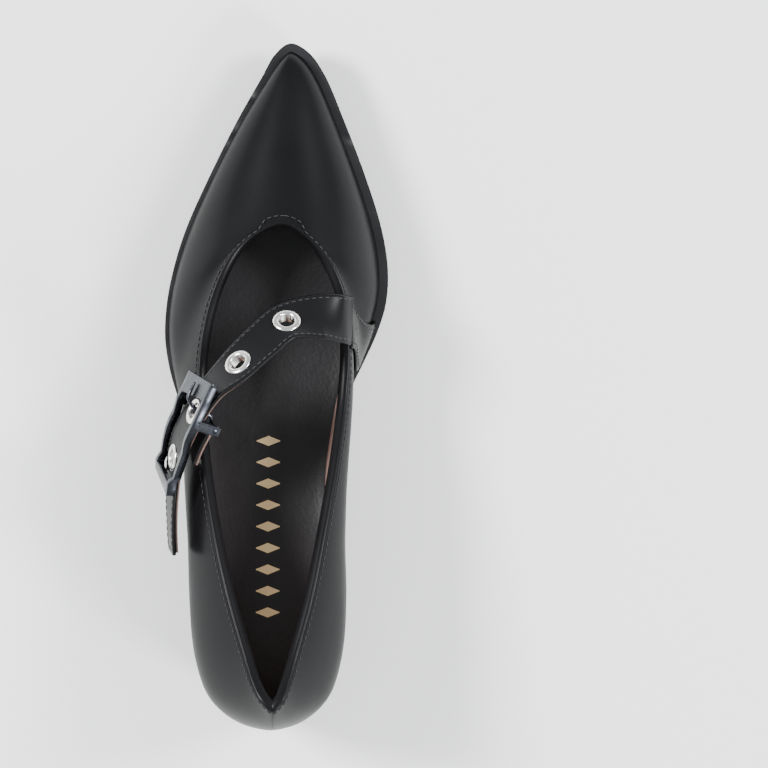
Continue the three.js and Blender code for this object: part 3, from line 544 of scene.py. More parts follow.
reveal = {
    1: profile([(-40, 1.2), (80, 1.3), (105, 2.6), (125, 3.4), (230, 3.4)]),
    -1: profile([(-40, 1.2), (150, 1.4), (200, 1.8), (230, 3.4)])}
low_swell = {
    1: profile([(-37, 8.5), (0, 11), (35, 9), (55, 6), (75, 4), (90, 3), (103, 2), (125, 1), (230, 0)]),
    -1: profile([(-37, 8.5), (0, 13), (35, 13), (55, 12), (75, 8), (90, 4), (103, 1.5), (125, 0.5),
                 (230, 0)])}
high_swell = {
    1: profile([(-37, 10.5), (0, 13), (35, 11), (55, 9), (75, 6.5), (90, 4.5), (110, 4), (230, 0)]),
    -1: profile([(-37, 10.5), (0, 13), (35, 11), (55, 9), (75, 7), (90, 6), (110, 4), (230, 0)])}
wall_rise = profile([(-40, 0.33), (90, 0.35), (120, 0.45), (230, 0.55)])


def raised(point):
    x, y, rise = point
    return Vector((x, y, welt_top(y) + rise))


ridge_line = spline([raised(p) for p in RIDGE], closed=False)
top_points = [raised(p) for p in [RIDGE[-1], *MEDIAL_TOP, TOP_BACK, *reversed(LATERAL_TOP)]]
top_loop = spline(top_points, closed=True)


def ease(share):
    share = min(max(share, 0), 1)
    return share * share * (3 - 2 * share)


def ridge_slope(y):
    """How fast the ridge rises backwards."""
    points = [raised(p) for p in RIDGE]
    rows = [p for p in zip(points, points[1:]) if p[0].y >= y]
    front, rear = rows[-1] if rows else (points[0], points[1])
    return min((rear.z - front.z) / (front.y - rear.y), 0.6)


def side_of(station):
    return 1 if station % AROUND <= BACK else -1


def from_toe(station):
    return min(station % AROUND, AROUND - station % AROUND)


def top_edge(station):
    count = from_toe(station)
    if count <= THROAT:
        return ridge_line(count)
    place = count - THROAT if side_of(station) > 0 else len(top_points) - (count - THROAT)
    return top_loop(place % len(top_points))


wall_cache = {}
FAN = 0.95  # how far forward of the throat its wall starts, in stations
FAN_RANGE = (1, 9.9)


def foot_station(station):
    """Where a wall starts on the sole: walls near the throat fan forward as they go down."""
    count = from_toe(station)
    if count < THROAT:
        lead = FAN * ease((count - FAN_RANGE[0]) / (THROAT - FAN_RANGE[0]))
    else:
        lead = FAN * ease((FAN_RANGE[1] - count) / (FAN_RANGE[1] - THROAT))
    return station - lead * side_of(station)


def wall(station):
    """The four control points of the upper's wall at a station, from the welt to its top."""
    key = round(station % AROUND, 4)
    if key in wall_cache:
        return wall_cache[key]
    side = side_of(station)
    y = sole_edge(foot_station(station))[0].y
    foot, outward = sole_edge(foot_station(station), reveal[side](y))
    foot.z = welt_top(foot.y) + CLEARANCE
    top = top_edge(station)
    rise = top.z - foot.z
    past = from_toe(station) - THROAT
    steep = ease(past / 5)
    low = foot + outward * low_swell[side](y)
    low.z += rise * wall_rise(y)
    high = top.lerp(foot, 0.5 * (1 - steep))
    # beside the ridge the leather rises backwards as the ridge does
    climb = (top.y - high.y) * ridge_slope(top.y) * (1 - ease(past / 2.5))
    high.z = top.z - rise * 0.33 * steep + climb
    high += outward * steep * high_swell[side](y)
    wall_cache[key] = foot, low, high, top
    return wall_cache[key]


def upper_point(station, height):
    foot, low, high, top = wall(station)
    t, u = height, 1 - height
    return foot * u ** 3 + low * 3 * u * u * t + high * 3 * u * t * t + top * t ** 3


def upper_normal(station, height):
    """Outward direction of the upper's surface."""
    lower, upper = max(height - 0.02, 0), min(height + 0.02, 0.98)
    up = upper_point(station, max(upper, lower + 0.01)) - upper_point(station, lower)
    level = min(height, 0.98)
    back = upper_point(station + 0.05, level) - upper_point(station - 0.05, level)
    return up.cross(back).normalized()


def leather_group():
    """Calf grain: small rounded cells broken by fine noise, with slow changes of tone."""
    group, nodes, links, entry, out, place = pattern_group("leather_grain", ["Cells"],
                                                           ["Height", "Tone"])
    cells = nodes.new("ShaderNodeTexVoronoi")
    cells.feature = "SMOOTH_F1"
    cells.inputs["Smoothness"].default_value = 0.6
    fine, slow = nodes.new("ShaderNodeTexNoise"), nodes.new("ShaderNodeTexNoise")
    fine.inputs["Scale"].default_value = 2600
    fine.inputs["Detail"].default_value = 3
    slow.inputs["Scale"].default_value = 45
    slow.inputs["Detail"].default_value = 4
    blend = nodes.new("ShaderNodeMix")
    blend.inputs["Factor"].default_value = 0.3
    for texture in (cells, fine, slow):
        links.new(place.outputs["Object"], texture.inputs["Vector"])
    links.new(entry.outputs["Cells"], cells.inputs["Scale"])
    links.new(cells.outputs["Distance"], blend.inputs["A"])
    links.new(fine.outputs["Fac"], blend.inputs["B"])
    links.new(blend.outputs["Result"], out.inputs["Height"])
    links.new(slow.outputs["Fac"], out.inputs["Tone"])
    return group


LEATHER = leather_group()


def leather(name, colour, lighter, roughness, cells, depth, coat=0.0):
    """Leather in two close tones. Cells per metre set the size of its grain, depth its relief."""
    material, shader = new_material(name, colour, roughness)
    grain = node(material, "ShaderNodeGroup", node_tree=LEATHER)
    grain.inputs["Cells"].default_value = cells
    bump = dress(material, shader, grain.outputs["Tone"], grain.outputs["Height"], (colour, lighter),
                 (roughness - 0.06, roughness + 0.06), 0.6, depth)
    bump.invert = True
    shader.inputs["Specular IOR Level"].default_value = 0.3 if coat == 0 else 0.02
    shader.inputs["Coat Weight"].default_value = coat
    shader.inputs["Coat Roughness"].default_value = 0.3
    return material


CALF = leather("upper_leather", (0.0035, 0.0035, 0.004), (0.006, 0.006, 0.007), 0.36, 1500, 0.05,
               coat=0.16)


def skin(place, columns, rows):
    """A surface over place(u, v), its meeting edges welded."""
    bm = bmesh.new()
    bmesh.ops.create_grid(bm, x_segments=columns, y_segments=rows, size=0.5)
    for vert in bm.verts:
        vert.co = place(vert.co.x + 0.5, vert.co.y + 0.5)
    bmesh.ops.remove_doubles(bm, verts=bm.verts, dist=WELD)
    return bm


def smooth(bm, verts, passes):
    for _ in range(passes):
        bmesh.ops.smooth_vert(bm, verts=verts, factor=0.5, use_axis_x=True, use_axis_y=True,
                              use_axis_z=True)


def wall_sheet(stations, heights, outer, columns, rows):
    """A layer of the upper. stations(h) gives the stations its columns pass at a height, evenly
    spread between each two; outer lifts it."""
    low, high = heights

    def place(u, v):
        height = low + (high - low) * v
        stops = stations(height)
        part = (1 - u) * (len(stops) - 1)
        stop = min(int(part + 1e-6), len(stops) - 2)
        station = stops[stop] + (stops[stop + 1] - stops[stop]) * (part - stop)
        lift = outer * min(from_toe(station) / 3, 1)
        return upper_point(station, height) + upper_normal(station, height) * lift
    return skin(place, columns, rows)


def medial_seam(height):
    return MEDIAL_SEAM[0] + MEDIAL_SEAM[1] * height


def vamp_run(height):
    """The vamp's stations: its columns mirror each other across the ridge, where the sides meet."""
    return LATERAL_SEAM, -7, 0, 7, medial_seam(height)


def build_upper():
    shapes = {
        "vamp": (vamp_run, 192),
        "quarter_medial": (lambda h: (medial_seam(h) + SEAM_GAP, BACK - SEAM_GAP), 90),
        "quarter_lateral": (lambda h: (BACK + SEAM_GAP, AROUND + LATERAL_SEAM - SEAM_GAP), 80),
    }
    for name, (stations, columns) in shapes.items():
        bm = wall_sheet(stations, (0, 1), 0, columns, 30)
        if name == "vamp":
            smooth(bm, [v for v in bm.verts if not v.is_boundary], VAMP_SMOOTHING)
        finish_piece(f"{name}_leather", bm, CALF, "upper_leather", stands_for=[name], sharp=50,
                     thickness=UPPER_THICKNESS)


build_upper()

# ---- Topline ------------------------------------------------
# The edge of the opening is turned over onto the lining and sewn through once, close to the fold.
# It is a soft round roll of the upper's own calf, held by black waxed thread.
FOLD_HALF = 2.0
FOLD_RISE = 0.85
FOLD_IN = 1.65
TOPLINE_STEPS = 260
TOPLINE_STITCH_IN = 2.9
FRAME_SMOOTHING = 10
STITCH_PITCH = 2.7
STITCH_LENGTH = 2.0
STITCH_RADIUS = 0.24
STITCH_LIFT = 0.03
THREAD_BLACK = leather("waxed_thread", (0.012, 0.012, 0.014), (0.03, 0.03, 0.032), 0.45, 4200, 0.04)


def top_frames(count):
    """Round the opening: the top of the wall, the outward direction there and the one up the wall,
    evened out along the edge."""
    stations = [THROAT + len(top_points) * index / count for index in range(count)]
    tops = [upper_point(station, 1) for station in stations]
    normals = [upper_normal(station, 0.94) for station in stations]
    for _ in range(FRAME_SMOOTHING):
        normals = [(normals[i - 1] + normals[i] * 2 + normals[(i + 1) % count]).normalized()
                   for i in range(count)]
    frames = []
    for i, (top, normal) in enumerate(zip(tops, normals)):
        along = (tops[(i + 1) % count] - tops[i - 1]).normalized()
        up = along.cross(normal).normalized()
        frames.append((top, up.cross(along).normalized(), up))
    return frames


def stitch_row(bm, path):
    """Stitches laid end to end along a path of points with their outward directions."""
    walked = 0.0
    due = STITCH_PITCH / 2
    for (here, normal), (there, _) in zip(path, path[1:]):
        step = (there - here).length
        while step > 0 and walked + step >= due:
            along = (there - here) / step
            at = here + along * (due - walked)
            aside = along.cross(normal).normalized()
            axes = (aside * STITCH_RADIUS, normal * STITCH_RADIUS, along * STITCH_LENGTH / 2)
            turn = Matrix(axes).transposed().to_4x4()
            bmesh.ops.create_uvsphere(bm, u_segments=6, v_segments=4, radius=1,
                                      matrix=Matrix.Translation(at) @ turn)
            due += STITCH_PITCH
        walked += step


def sewn(name, rows):
    bm = bmesh.new()
    for row in rows:
        stitch_row(bm, row)
    finish_piece(name, bm, THREAD_BLACK, "upper_leather", sharp=80)


def build_topline():
    frames = top_frames(TOPLINE_STEPS)

    def place(u, v):
        top, normal, up = frames[round(u * TOPLINE_STEPS) % TOPLINE_STEPS]
        turn = 2 * math.pi * v
        return top + normal * (FOLD_HALF * math.cos(turn) - FOLD_IN) + up * (FOLD_RISE * math.sin(turn))
    bm = skin(place, TOPLINE_STEPS, 14)
    finish_piece("topline_fold", bm, CALF, "upper_leather", sharp=80)

    row = []
    for index, (top, normal, up) in enumerate(frames):
        station = THROAT + len(top_points) * index / TOPLINE_STEPS
        if from_toe(station) < THROAT + 0.6:
            point = top - up * TOPLINE_STITCH_IN
        else:
            drop = 0.1 * TOPLINE_STITCH_IN / (top - upper_point(station, 0.9)).length
            point = upper_point(station, 1 - drop)
        row.append((point + normal * 0.05, normal))
    row.append(row[0])
    sewn("topline_stitches", [row])


build_topline()

# ---- Linings ------------------------------------------------
# Black kid under the vamp, pinkish beige kid in the quarters, lying against the stiffeners inside.
# They run from below the sock up to the folded edge of the opening.
LINING_THICKNESS = 0.7
LINING_IN = 3.0
LINING_FROM = 0.16  # lowest height, hidden below the sock
LINING_TO = 0.985
LINING_EASED = 146  # forward of here the vamp's lining is drawn smooth under the ridge
LINING_SMOOTHING = 16


def build_linings():
    beige = leather("quarter_lining_leather", (0.36, 0.235, 0.2), (0.42, 0.285, 0.245), 0.6, 1300, 0.06)
    black = leather("vamp_lining_leather", (0.008, 0.008, 0.009), (0.016, 0.015, 0.016), 0.55, 1200,
                    0.08)
    shapes = {
        "vamp_lining": (vamp_run, black, "vamp_lining_leather", 120),
        "quarter_lining_medial": (
            lambda h: (medial_seam(h) + 0.02, BACK), beige, "quarter_lining_leather", 70),
        "quarter_lining_lateral": (
            lambda h: (BACK, AROUND + LATERAL_SEAM - 0.02), beige, "quarter_lining_leather", 60),
    }
    for name, (stations, material, slot, columns) in shapes.items():
        bm = wall_sheet(stations, (LINING_FROM, LINING_TO), -LINING_IN, columns, 20)
        if name == "vamp_lining":
            smooth(bm, [v for v in bm.verts if v.co.y > LINING_EASED], LINING_SMOOTHING)
        finish_piece(f"{name}_kid", bm, material, slot, stands_for=[name], sharp=60,
                     thickness=LINING_THICKNESS)


build_linings()

# ---- Sock ---------------------------------------------------
# The footbed is a thin foam pad under a sock of soft black grained leather that turns up against the
# walls. Small plain gold marks are pressed into it along the waist and the heel.
SOCK_BOTTOM = 5.2
SOCK_TOP = 6.0
PADDING_BOTTOM = 3.7
PADDING_TOP = 4.9
SOCK_FIRST = 2.6  # station
SOCK_INSET = 3.3
SOCK_CURL = 1.1
PADDING_INSET = 3.9
GOLD = (0.72, 0.55, 0.31)
MARK_X = -0.5
MARK_PITCH = 8.4
MARK_HALF = (4.6, 2.0)
MARK_TAPER = 0.4
MARK_TIP = 0.3
MARK_RANGE = (0.5, 76.1)


def footbed_edge(inset):
    def edge(station):
        low, high = 0.0, 1.0
        for _ in range(20):
            middle = (low + high) / 2
            point = upper_point(station, middle)
            if point.z < welt_top(point.y) + SOCK_TOP:
                low = middle
            else:
                high = middle
        normal = upper_normal(station, low)
        point = upper_point(station, low) - Vector((normal.x, normal.y, 0)).normalized() * inset
        return Vector((point.x, point.y, 0))
    return edge


def sock_leather():
    """Grained black leather with creases, and a column of plain gold marks."""
    material = leather("sock_leather", (0.008, 0.008, 0.009), (0.014, 0.013, 0.015), 0.46, 820, 0.13)
    shader = material.node_tree.nodes["Principled BSDF"]
    place = node(material, "ShaderNodeTexCoord")
    split = node(material, "ShaderNodeSeparateXYZ")
    link(material, place.outputs["Object"], split.inputs["Vector"])
    x, y = split.outputs["X"], split.outputs["Y"]

    def calc(operation, *values):
        """A math node fed by sockets or plain numbers."""
        made = node(material, "ShaderNodeMath", operation=operation)
        for index, value in enumerate(values):
            if isinstance(value, float):
                made.inputs[index].default_value = value
            else:
                link(material, value, made.inputs[index])
        return made.outputs["Value"]

    aside = calc("ABSOLUTE", calc("SUBTRACT", x, MARK_X * MM))
    turn = calc("WRAP", calc("SUBTRACT", y, MARK_RANGE[0] * MM), MARK_PITCH * MM, 0.0)
    along = calc("ABSOLUTE", calc("SUBTRACT", turn, MARK_PITCH * MM / 2))
    # every mark is a lozenge that tapers to thin ends
    half = calc("MAXIMUM", calc("MULTIPLY_ADD", aside, -MARK_TAPER, MARK_HALF[1] * MM), MARK_TIP * MM)
    mark = calc("MULTIPLY", calc("LESS_THAN", aside, MARK_HALF[0] * MM), calc("LESS_THAN", along, half))
    column = calc("MULTIPLY", calc("GREATER_THAN", y, MARK_RANGE[0] * MM),
                  calc("LESS_THAN", y, MARK_RANGE[1] * MM))
    mask = calc("MULTIPLY", mark, column)
    foil = node(material, "ShaderNodeMix", data_type="RGBA")
    foil.inputs["B"].default_value = (*GOLD, 1)
    link(material, mask, foil.inputs["Factor"])
    link(material, shader.inputs["Base Color"].links[0].from_socket, foil.inputs["A"])
    link(material, foil.outputs["Result"], shader.inputs["Base Color"])
    link(material, calc("MULTIPLY", mask, 0.6), shader.inputs["Metallic"])
    crease = node(material, "ShaderNodeTexNoise", Scale=60.0, Detail=3.0, Distortion=1.2)
    link(material, place.outputs["Object"], crease.inputs["Vector"])
    fold = node(material, "ShaderNodeBump", Strength=0.5, Distance=0.5 * MM)
    link(material, crease.outputs["Fac"], fold.inputs["Height"])
    grain = shader.inputs["Normal"].links[0].from_node
    link(material, fold.outputs["Normal"], grain.inputs["Normal"])
    return material


def build_sock():
    last = BACK - 0.001
    bm = plate(footbed_edge(SOCK_INSET), SOCK_FIRST, last, lambda y: welt_top(y) + SOCK_TOP,
               lambda y: welt_top(y) + SOCK_BOTTOM, rows=120, columns=24, curl=SOCK_CURL)
    round_edges(bm, 0.25)
    finish_piece("sock", bm, sock_leather(), "sock_leather", stands_for=["sock_lining"], sharp=50)

    bm = plate(footbed_edge(PADDING_INSET), SOCK_FIRST, last, lambda y: welt_top(y) + PADDING_TOP,
               lambda y: welt_top(y) + PADDING_BOTTOM, rows=80, columns=8)
    round_edges(bm, 0.3)
    pad = finish_piece("padding", bm, bpy.data.materials["padding_foam"], "padding_foam",
                       stands_for=["sock_padding"])


build_sock()

# ---- Strap base ---------------------------------------------
# The strap starts as a flat band sewn to the inner quarter, from the sole up to the opening.
# Its leather is glossier than the quarter's, and one row of stitches holds each edge.
BASE_LIFT = 0.35
BASE_THICKNESS = 1.2
BASE_FRONT = (8.05, 1.05)  # station at the foot, and how much farther back at the top
BASE_REAR = (9.3, 0.75)
STRAP_CALF = leather("strap_leather", (0.0035, 0.0035, 0.004), (0.007, 0.007, 0.008), 0.3, 1500, 0.04,
                     coat=0.22)


def base_station(height, share):
    front, rear = (foot + back * height for foot, back in (BASE_FRONT, BASE_REAR))
    return rear + (front - rear) * share


def build_strap_base():
    def place(u, v):
        height = 0.02 + 0.98 * v
        station = base_station(height, u)
        lift = BASE_LIFT + BASE_THICKNESS - 0.5 * abs(2 * u - 1) ** 10
        return upper_point(station, height) + upper_normal(station, height) * lift
    bm = skin(place, 26, 34)
    finish_piece("strap_base_leather", bm, STRAP_CALF, "upper_leather", stands_for=["strap_base"],
                 thickness=BASE_THICKNESS)

    rows = []
    for share in (0.1, 0.9):
        row = []
        for index in range(30):
            height = 0.05 + 0.9 * index / 29
            station = base_station(height, share)
            normal = upper_normal(station, height)
            lift = BASE_LIFT + BASE_THICKNESS + STITCH_LIFT
            row.append((upper_point(station, height) + normal * lift, normal))
        rows.append(row)
    sewn("strap_base_stitches", rows)


build_strap_base()

# ---- Strap --------------------------------------------------
# One band of calf on a taupe lining, sewn along both edges. It crosses the instep diagonally, goes
# through the buckle and ends down the outer side.
STRAP_ROUTE = [
    (32, 118.8, 36.6, 0, -1, 0), (28.5, 119.6, 42.8, 0.05, -1, 0.05), (20, 120, 48.5, 0.2, -0.9, 0.35),
    (7.3, 117.7, 53.9, 0.32, -0.71, 0.62), (-2, 110, 57.4, 0.45, -0.62, 0.62),
    (-11, 101.3, 59.9, 0.52, -0.5, 0.68), (-19.9, 93.2, 59.6, 0.45, -0.32, 0.9),
    (-27, 83.2, 57, 0.42, -0.22, 0.98), (-32, 74.5, 50.5, 0.36, -0.22, 0.98),
    (-35.3, 66.5, 43, 0.28, -0.26, 0.92), (-37, 53, 37.4, 0.22, -0.25, 0.94),
    (-37.2, 40, 35.2, 0.17, -0.2, 0.97), (-36.8, 29, 34, 0.15, -0.2, 0.97)]
STRAP_WIDTH = 19
STRAP_THICKNESS = 1.2
STRAP_DROOP = 0.45
STRAP_LINING = (-0.35, 0.8)  # top and thickness
STRAP_LINING_INSETS = (1.6, 0.8, 1.5)  # at its start, at its end and along its edges
STRAP_STITCH_IN = 1.7
EYELETS = [31 + 24.9 * index for index in range(4)]  # along the strap
BORE = 3.0
HOLE = 3.75
FLANGE = 5.4
RIBBON_STEPS = 400


def ribbon(points, widths):
    """A band's own axes against the distance along it, and its length. The axes are its origin, the
    way along, the way across to its rear edge, and outward."""
    line, hints = spline(points, closed=False), spline(widths, closed=False)
    places = [(len(points) - 1) * index / RIBBON_STEPS for index in range(RIBBON_STEPS + 1)]
    lengths = [0.0]
    for near, far in zip(places, places[1:]):
        lengths.append(lengths[-1] + (line(far) - line(near)).length)
    known = {}

    def axes(distance):
        key = round(distance, 3)
        if key not in known:
            walked = min(max(distance, 0), lengths[-1])
            i = min(max(bisect_right(lengths, walked) - 1, 0), RIBBON_STEPS - 1)
            part = (walked - lengths[i]) / (lengths[i + 1] - lengths[i])
            place = places[i] + part * (places[i + 1] - places[i])
            along = line(min(place + 0.001, places[-1])) - line(max(place - 0.001, 0))
            along.normalize()
            across = hints(place)
            across = (across - along * across.dot(along)).normalized()
            known[key] = line(place), along, across, along.cross(across)
        return known[key]
    return axes, lengths[-1]


strap_axes, STRAP_SPAN = ribbon([Vector((x, y, BALL_HEIGHT + z)) for x, y, z, *_ in STRAP_ROUTE],
                                [Vector(row[3:]) for row in STRAP_ROUTE])


def stand_on(axes, distance, aside, lift):
    origin, _, across, outward = axes(distance)
    return origin + across * aside + outward * lift


def strap_point(distance, aside, lift):
    return stand_on(strap_axes, distance, aside, lift)


def strap_matrix(distance):
    """Stands a shape made about its own Z axis on the strap."""
    origin, along, across, outward = strap_axes(distance)
    return Matrix.Translation(origin) @ Matrix((along, across, outward)).transposed().to_4x4()


def strap_sheet(start, end, width, lift, droop):
    """A band along the strap with a round hole at each eyelet, its edges rolled down a little."""
    bm = bmesh.new()
    bmesh.ops.create_grid(bm, x_segments=int((end - start) / 0.7), y_segments=26, size=0.5)
    for vert in bm.verts:
        vert.co = (start + (end - start) * (vert.co.x + 0.5), vert.co.y * width, 0)
    for place in EYELETS:
        centre = Vector((place, 0, 0))
        gone = [f for f in bm.faces if (f.calc_center_median() - centre).length < HOLE]
        bmesh.ops.delete(bm, geom=gone, context="FACES")
        for vert in bm.verts:
            reach = vert.co - centre
            if vert.is_boundary and reach.length < HOLE + 1.2:
                vert.co = centre + reach.normalized() * HOLE
    for vert in bm.verts:
        distance, aside, _ = vert.co
        fall = max(abs(aside) - width / 2 + 1, 0)
        vert.co = strap_point(distance, aside, lift - droop * fall * fall)
    return bm


def build_strap():
    bm = strap_sheet(0, STRAP_SPAN, STRAP_WIDTH, STRAP_THICKNESS, STRAP_DROOP)
    finish_piece("strap_band", bm, STRAP_CALF, "upper_leather", stands_for=["strap_leather"],
                 thickness=STRAP_THICKNESS - 0.1)
    taupe = leather("strap_lining_leather", (0.1, 0.066, 0.056), (0.13, 0.088, 0.074), 0.65, 1300, 0.06)
    start, end, edge = STRAP_LINING_INSETS
    bm = strap_sheet(start, STRAP_SPAN - end, STRAP_WIDTH - 2 * edge, STRAP_LINING[0], 0.0)
    finish_piece("strap_under", bm, taupe, "strap_lining_leather", stands_for=["strap_lining"],
                 thickness=STRAP_LINING[1])

    def stitch(distance, aside):
        return strap_point(distance, aside, STRAP_THICKNESS + STITCH_LIFT), strap_axes(distance)[3]
    inset = STRAP_WIDTH / 2 - STRAP_STITCH_IN
    rows = [[stitch(STRAP_SPAN * n / 240, aside) for n in range(4, 237)] for aside in (-inset, inset)]
    rows.append([stitch(STRAP_SPAN - 1.8, inset * share) for share in (-1, -0.5, 0, 0.5, 1)])
    sewn("strap_stitches", rows)


build_strap()

# ---- Eyelets ------------------------------------------------
# Four large round eyelets of bright nickel, each set through the strap onto a washer underneath.
# Their rims are rolled over and slightly domed.
def plated(name, colour, dull, roughness, scratch=0.02):
    """Plated metal: faint scratches and a cloudy change in its shine."""
    material, shader = new_material(name, colour, roughness, 1.0)
    place = node(material, "ShaderNodeTexCoord")
    cloud = node(material, "ShaderNodeTexNoise", Scale=260.0, Detail=4.0)
    link(material, place.outputs["Object"], cloud.inputs["Vector"])
    dress(material, shader, cloud.outputs["Fac"], streaks(material, (300, 2400, 1500), 6.0),
          (colour, dull), (roughness - 0.05, roughness + 0.09), 0.4, scratch)
    return material


NICKEL = plated("bright_nickel", (0.83, 0.82, 0.8), (0.68, 0.67, 0.65), 0.2)


def turned_ring(bm, section, matrix, steps=40):
    """A ring turned about its own Z axis from a closed section of (radius, height) points."""
    corners = [bm.verts.new((radius, 0, height)) for radius, height in section]
    edges = [bm.edges.new((a, b)) for a, b in zip(corners, corners[1:] + corners[:1])]
    bmesh.ops.spin(bm, geom=corners + edges, axis=(0, 0, 1), cent=(0, 0, 0), steps=steps,
                   angle=2 * math.pi, use_merge=True)
    for vert in bm.verts:
        if not vert.tag:
            vert.co = matrix @ vert.co
            vert.tag = True


def build_eyelets():
    barrel = [(BORE, -2.4), (HOLE - 0.15, -2.4), (HOLE - 0.15, 1.15), (FLANGE - 0.15, 1.1),
              (FLANGE, 1.3), (FLANGE - 0.12, 1.55), (FLANGE - 0.7, 1.85), (FLANGE - 1.4, 1.95),
              (BORE + 0.5, 1.8), (BORE + 0.15, 1.45), (BORE, 0.9)]
    washer = [(HOLE, -2.4), (FLANGE - 0.7, -2.4), (FLANGE - 0.6, -2.1), (FLANGE - 0.8, -1.9),
              (HOLE, -1.9)]
    for index, place in enumerate(EYELETS, start=1):
        for name, section in (("eyelet", barrel), ("eyelet_washer", washer)):
            bm = bmesh.new()
            turned_ring(bm, section, strap_matrix(place))
            finish_piece(f"{name}_{index}_ring", bm, NICKEL, "bright_nickel",
                         stands_for=[f"{name}_{index}"], sharp=50)


build_eyelets()

# ---- Buckle -------------------------------------------------
# A cast frame of dark nickel that bends with the strap: a broad plate in front, two arms, and a
# raised keeper bar behind. A steel bar under it carries the prong, which comes up through an eyelet.
# Places are distances behind the bar, to the rear edge and outward from the strap.
BAR_PLACE = EYELETS[2] + 1  # along the strap
BAR_RADIUS = 1.1
BAR_LIFT = -5.0
INSIDE, OUTSIDE = 10.6, 12.8  # of an arm, from the middle
FRAME_LOW, FRAME_HIGH = 1.7, 4.7
PLATE_LOW = 3.3
PLATE = (-13.5, -5.8)
KEEPER = (30.0, 34.5)
KEEPER_LOW = 2.6
SINK = 1.7  # the arms drop beside the strap
JOG = 1.9  # and step out again to the keeper
LUG_HALF = 1.5
FORWARD = Vector((0.42, 0.9, 0.03)).normalized()
PLATE_ACROSS = Vector((0.41, -0.16, 0.9))
DARK_NICKEL = plated("dark_nickel", (0.06, 0.064, 0.075), (0.04, 0.043, 0.052), 0.24, 0.03)

bar_origin = strap_axes(BAR_PLACE)[0]
follow = [9, 17, 25, KEEPER[1]]
frame_axes, _ = ribbon(
    [bar_origin - FORWARD * PLATE[0], bar_origin - FORWARD * PLATE[0] / 2, bar_origin,
     *[strap_axes(BAR_PLACE + distance)[0] for distance in follow]],
    [PLATE_ACROSS, PLATE_ACROSS, PLATE_ACROSS * 0.5 + strap_axes(BAR_PLACE)[2] * 0.5,
     *[strap_axes(BAR_PLACE + distance)[2] for distance in follow]])


def frame_point(distance, aside, lift):
    """A point of the buckle, by its distance behind the bar."""
    return stand_on(frame_axes, distance - PLATE[0], aside, lift)


def square_to_bar(along, aside, lift):
    """A point in the bar's own straight axes."""
    origin, way, across, outward = frame_axes(-PLATE[0])
    return origin + way * along + across * aside + outward * lift


def bar_matrix():
    """Stands a shape made about its own Z axis along the bar."""
    turn = frame_axes(-PLATE[0])[2].to_track_quat("Z", "Y").to_matrix().to_4x4()
    return Matrix.Translation(frame_point(0, 0, BAR_LIFT)) @ turn


def frame_levels(distance, aside):
    """The lower and upper lift of the buckle's frame: the arms sink beside the strap, then jog out
    to the keeper."""
    sink = SINK * ease((distance - 2) / 10)
    jog = JOG * ease((distance - KEEPER[0] + 3) / 3)
    low, high = FRAME_LOW - sink + 0.8 * jog, FRAME_HIGH - sink + jog
    if abs(aside) < INSIDE - 0.1:
        low = PLATE_LOW if distance < 0 else KEEPER_LOW
    return low, high


def build_buckle_frame():
    arm = [PLATE[1] + (KEEPER[0] - PLATE[1]) * n / 26 for n in range(27)]
    plate_stops = [PLATE[0] + (PLATE[1] - PLATE[0]) * n / 6 for n in range(6)]
    stops = plate_stops + arm + [KEEPER[1] - 2.2, KEEPER[1]]
    half = [0, INSIDE / 2, INSIDE - 0.4, INSIDE, OUTSIDE]
    sides = [-aside for aside in reversed(half[1:])] + half
    columns, rows = len(stops) - 1, len(sides) - 1
    bm = skin(lambda u, v: Vector((stops[round(u * columns)], sides[round(v * rows)], 1)),
              columns, rows)
    window = [f for f in bm.faces if PLATE[1] < f.calc_center_median().x < KEEPER[0]
              and abs(f.calc_center_median().y) < INSIDE]
    bmesh.ops.delete(bm, geom=window, context="FACES")
    under = bmesh.ops.extrude_face_region(bm, geom=bm.faces[:])
    for vert in [g for g in under["geom"] if isinstance(g, bmesh.types.BMVert)]:
        vert.co.z = 0
    for vert in bm.verts:
        distance, aside, upper = vert.co
        low, high = frame_levels(distance, aside)
        vert.co = frame_point(distance, aside, high if upper > 0.5 else low)
    bmesh.ops.recalc_face_normals(bm, faces=bm.faces)
    round_edges(bm, 0.35, angle=38)
    for side in (-1, 1):
        lug = bmesh.ops.create_cube(bm, size=1)["verts"]
        for vert in lug:
            u, v, w = vert.co
            aside = side * (INSIDE + OUTSIDE) / 2 + v * (OUTSIDE - INSIDE - 0.1)
            lift = BAR_LIFT - LUG_HALF if w < 0 else FRAME_LOW + 1
            vert.co = square_to_bar(2 * LUG_HALF * u, aside, lift)
        round_block(bm, lug, 0.4)
    finish_piece("buckle_casting", bm, DARK_NICKEL, "dark_nickel", "buckle", ["buckle_frame"], sharp=40)

    bm = bmesh.new()
    bmesh.ops.create_cone(bm, cap_ends=True, segments=28, radius1=BAR_RADIUS, radius2=BAR_RADIUS,
                          depth=2 * OUTSIDE, matrix=bar_matrix())
    round_edges(bm, 0.2, angle=60)
    finish_piece("bar_rod", bm, DARK_NICKEL, "dark_nickel", "buckle", ["buckle_bar"], sharp=50)


build_buckle_frame()

PRONG_RADIUS = 0.9
PRONG_FLATTENED = (1.15, 0.85)
PRONG_DRAWN_IN = 0.35  # at its tip
PRONG_PATH = [(0, -3.15), (-1, -1.5), (-1.9, 1.5), (-2.6, 3.2), (-4, 5.2), (-6.2, 5.9), (-8.5, 5.9),
              (-11, 5.8)]
KNUCKLE = (BAR_RADIUS + 0.3, BAR_RADIUS + 1.2, 1.6)  # bore, radius, half of its length


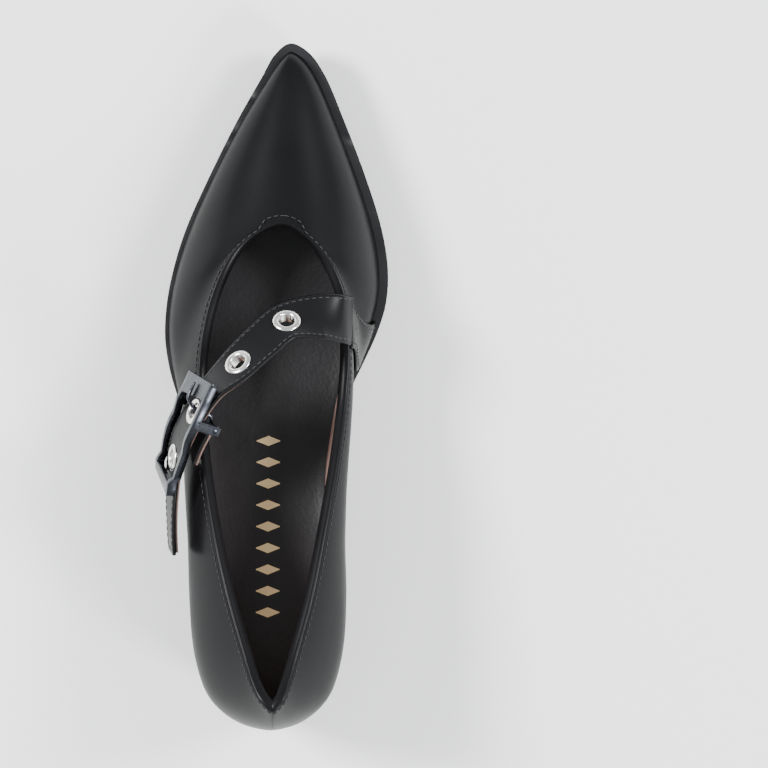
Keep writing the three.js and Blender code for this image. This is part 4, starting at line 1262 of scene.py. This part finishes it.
def build_prong():
    across = frame_axes(-PLATE[0])[2]
    line = spline([frame_point(along, 0, lift) for along, lift in PRONG_PATH], closed=False)
    reach = len(PRONG_PATH) - 1

    def place(u, v):
        at, ahead = line(reach * u), line(min(reach * u + 0.01, reach))
        behind = line(max(reach * u - 0.01, 0))
        along = (ahead - behind).normalized()
        up = across.cross(along).normalized()
        turn = 2 * math.pi * v
        radius = PRONG_RADIUS * (1 - PRONG_DRAWN_IN * ease((u - 0.75) / 0.25))
        wide, high = (radius * share for share in PRONG_FLATTENED)
        return at + across * (wide * math.cos(turn)) + up * (high * math.sin(turn))
    bm = skin(place, 60, 18)
    bmesh.ops.holes_fill(bm, edges=[e for e in bm.edges if e.is_boundary], sides=0)
    round_edges(bm, 0.25, angle=60)
    for vert in bm.verts:
        vert.tag = True
    bore, radius, half = KNUCKLE
    section = [(bore, -half), (radius - 0.3, -half), (radius, -half + 0.3), (radius, half - 0.3),
               (radius - 0.3, half), (bore, half)]
    turned_ring(bm, section, bar_matrix(), steps=30)
    finish_piece("prong_pin", bm, DARK_NICKEL, "dark_nickel", "prong", ["buckle_prong"], sharp=50)


build_prong()

# ---- Elastic tab --------------------------------------------
# A short ribbed elastic on a taupe leather backing ties the buckle's bar to the outer quarter.
# It gives a little, so the buckle can rock on it.
TAB_WIDTH = 15
TAB_FROM = 2.7  # behind the bar
TAB_LENGTH = 18
TAB_LIFT = -4.7
TAB_THICKNESS = 1.1
BACKING_THICKNESS = 0.7
RIB = 1.25
RIB_HEIGHT = 0.16


def build_tab():
    def elastic(u, v):
        aside = (v - 0.5) * TAB_WIDTH
        rib = RIB_HEIGHT * (abs(math.sin(math.pi * aside / RIB)) - 1)
        return frame_point(TAB_FROM + TAB_LENGTH * u, aside, TAB_LIFT + rib)
    bm = skin(elastic, 20, 96)
    cloth = speckled("elastic", (0.01, 0.01, 0.011), (0.02, 0.02, 0.022), 0.8, 3200, 0.1)
    finish_piece("elastic", bm, cloth, "elastic", stands_for=["elastic_tab"], sharp=80,
                 thickness=TAB_THICKNESS - RIB_HEIGHT)

    bm = skin(lambda u, v: frame_point(TAB_FROM + TAB_LENGTH * u, (v - 0.5) * TAB_WIDTH,
                                       TAB_LIFT - TAB_THICKNESS - CLEARANCE), 20, 12)
    finish_piece("tab_under", bm, bpy.data.materials["strap_lining_leather"], "strap_lining_leather",
                 stands_for=["tab_backing"], thickness=BACKING_THICKNESS)


build_tab()
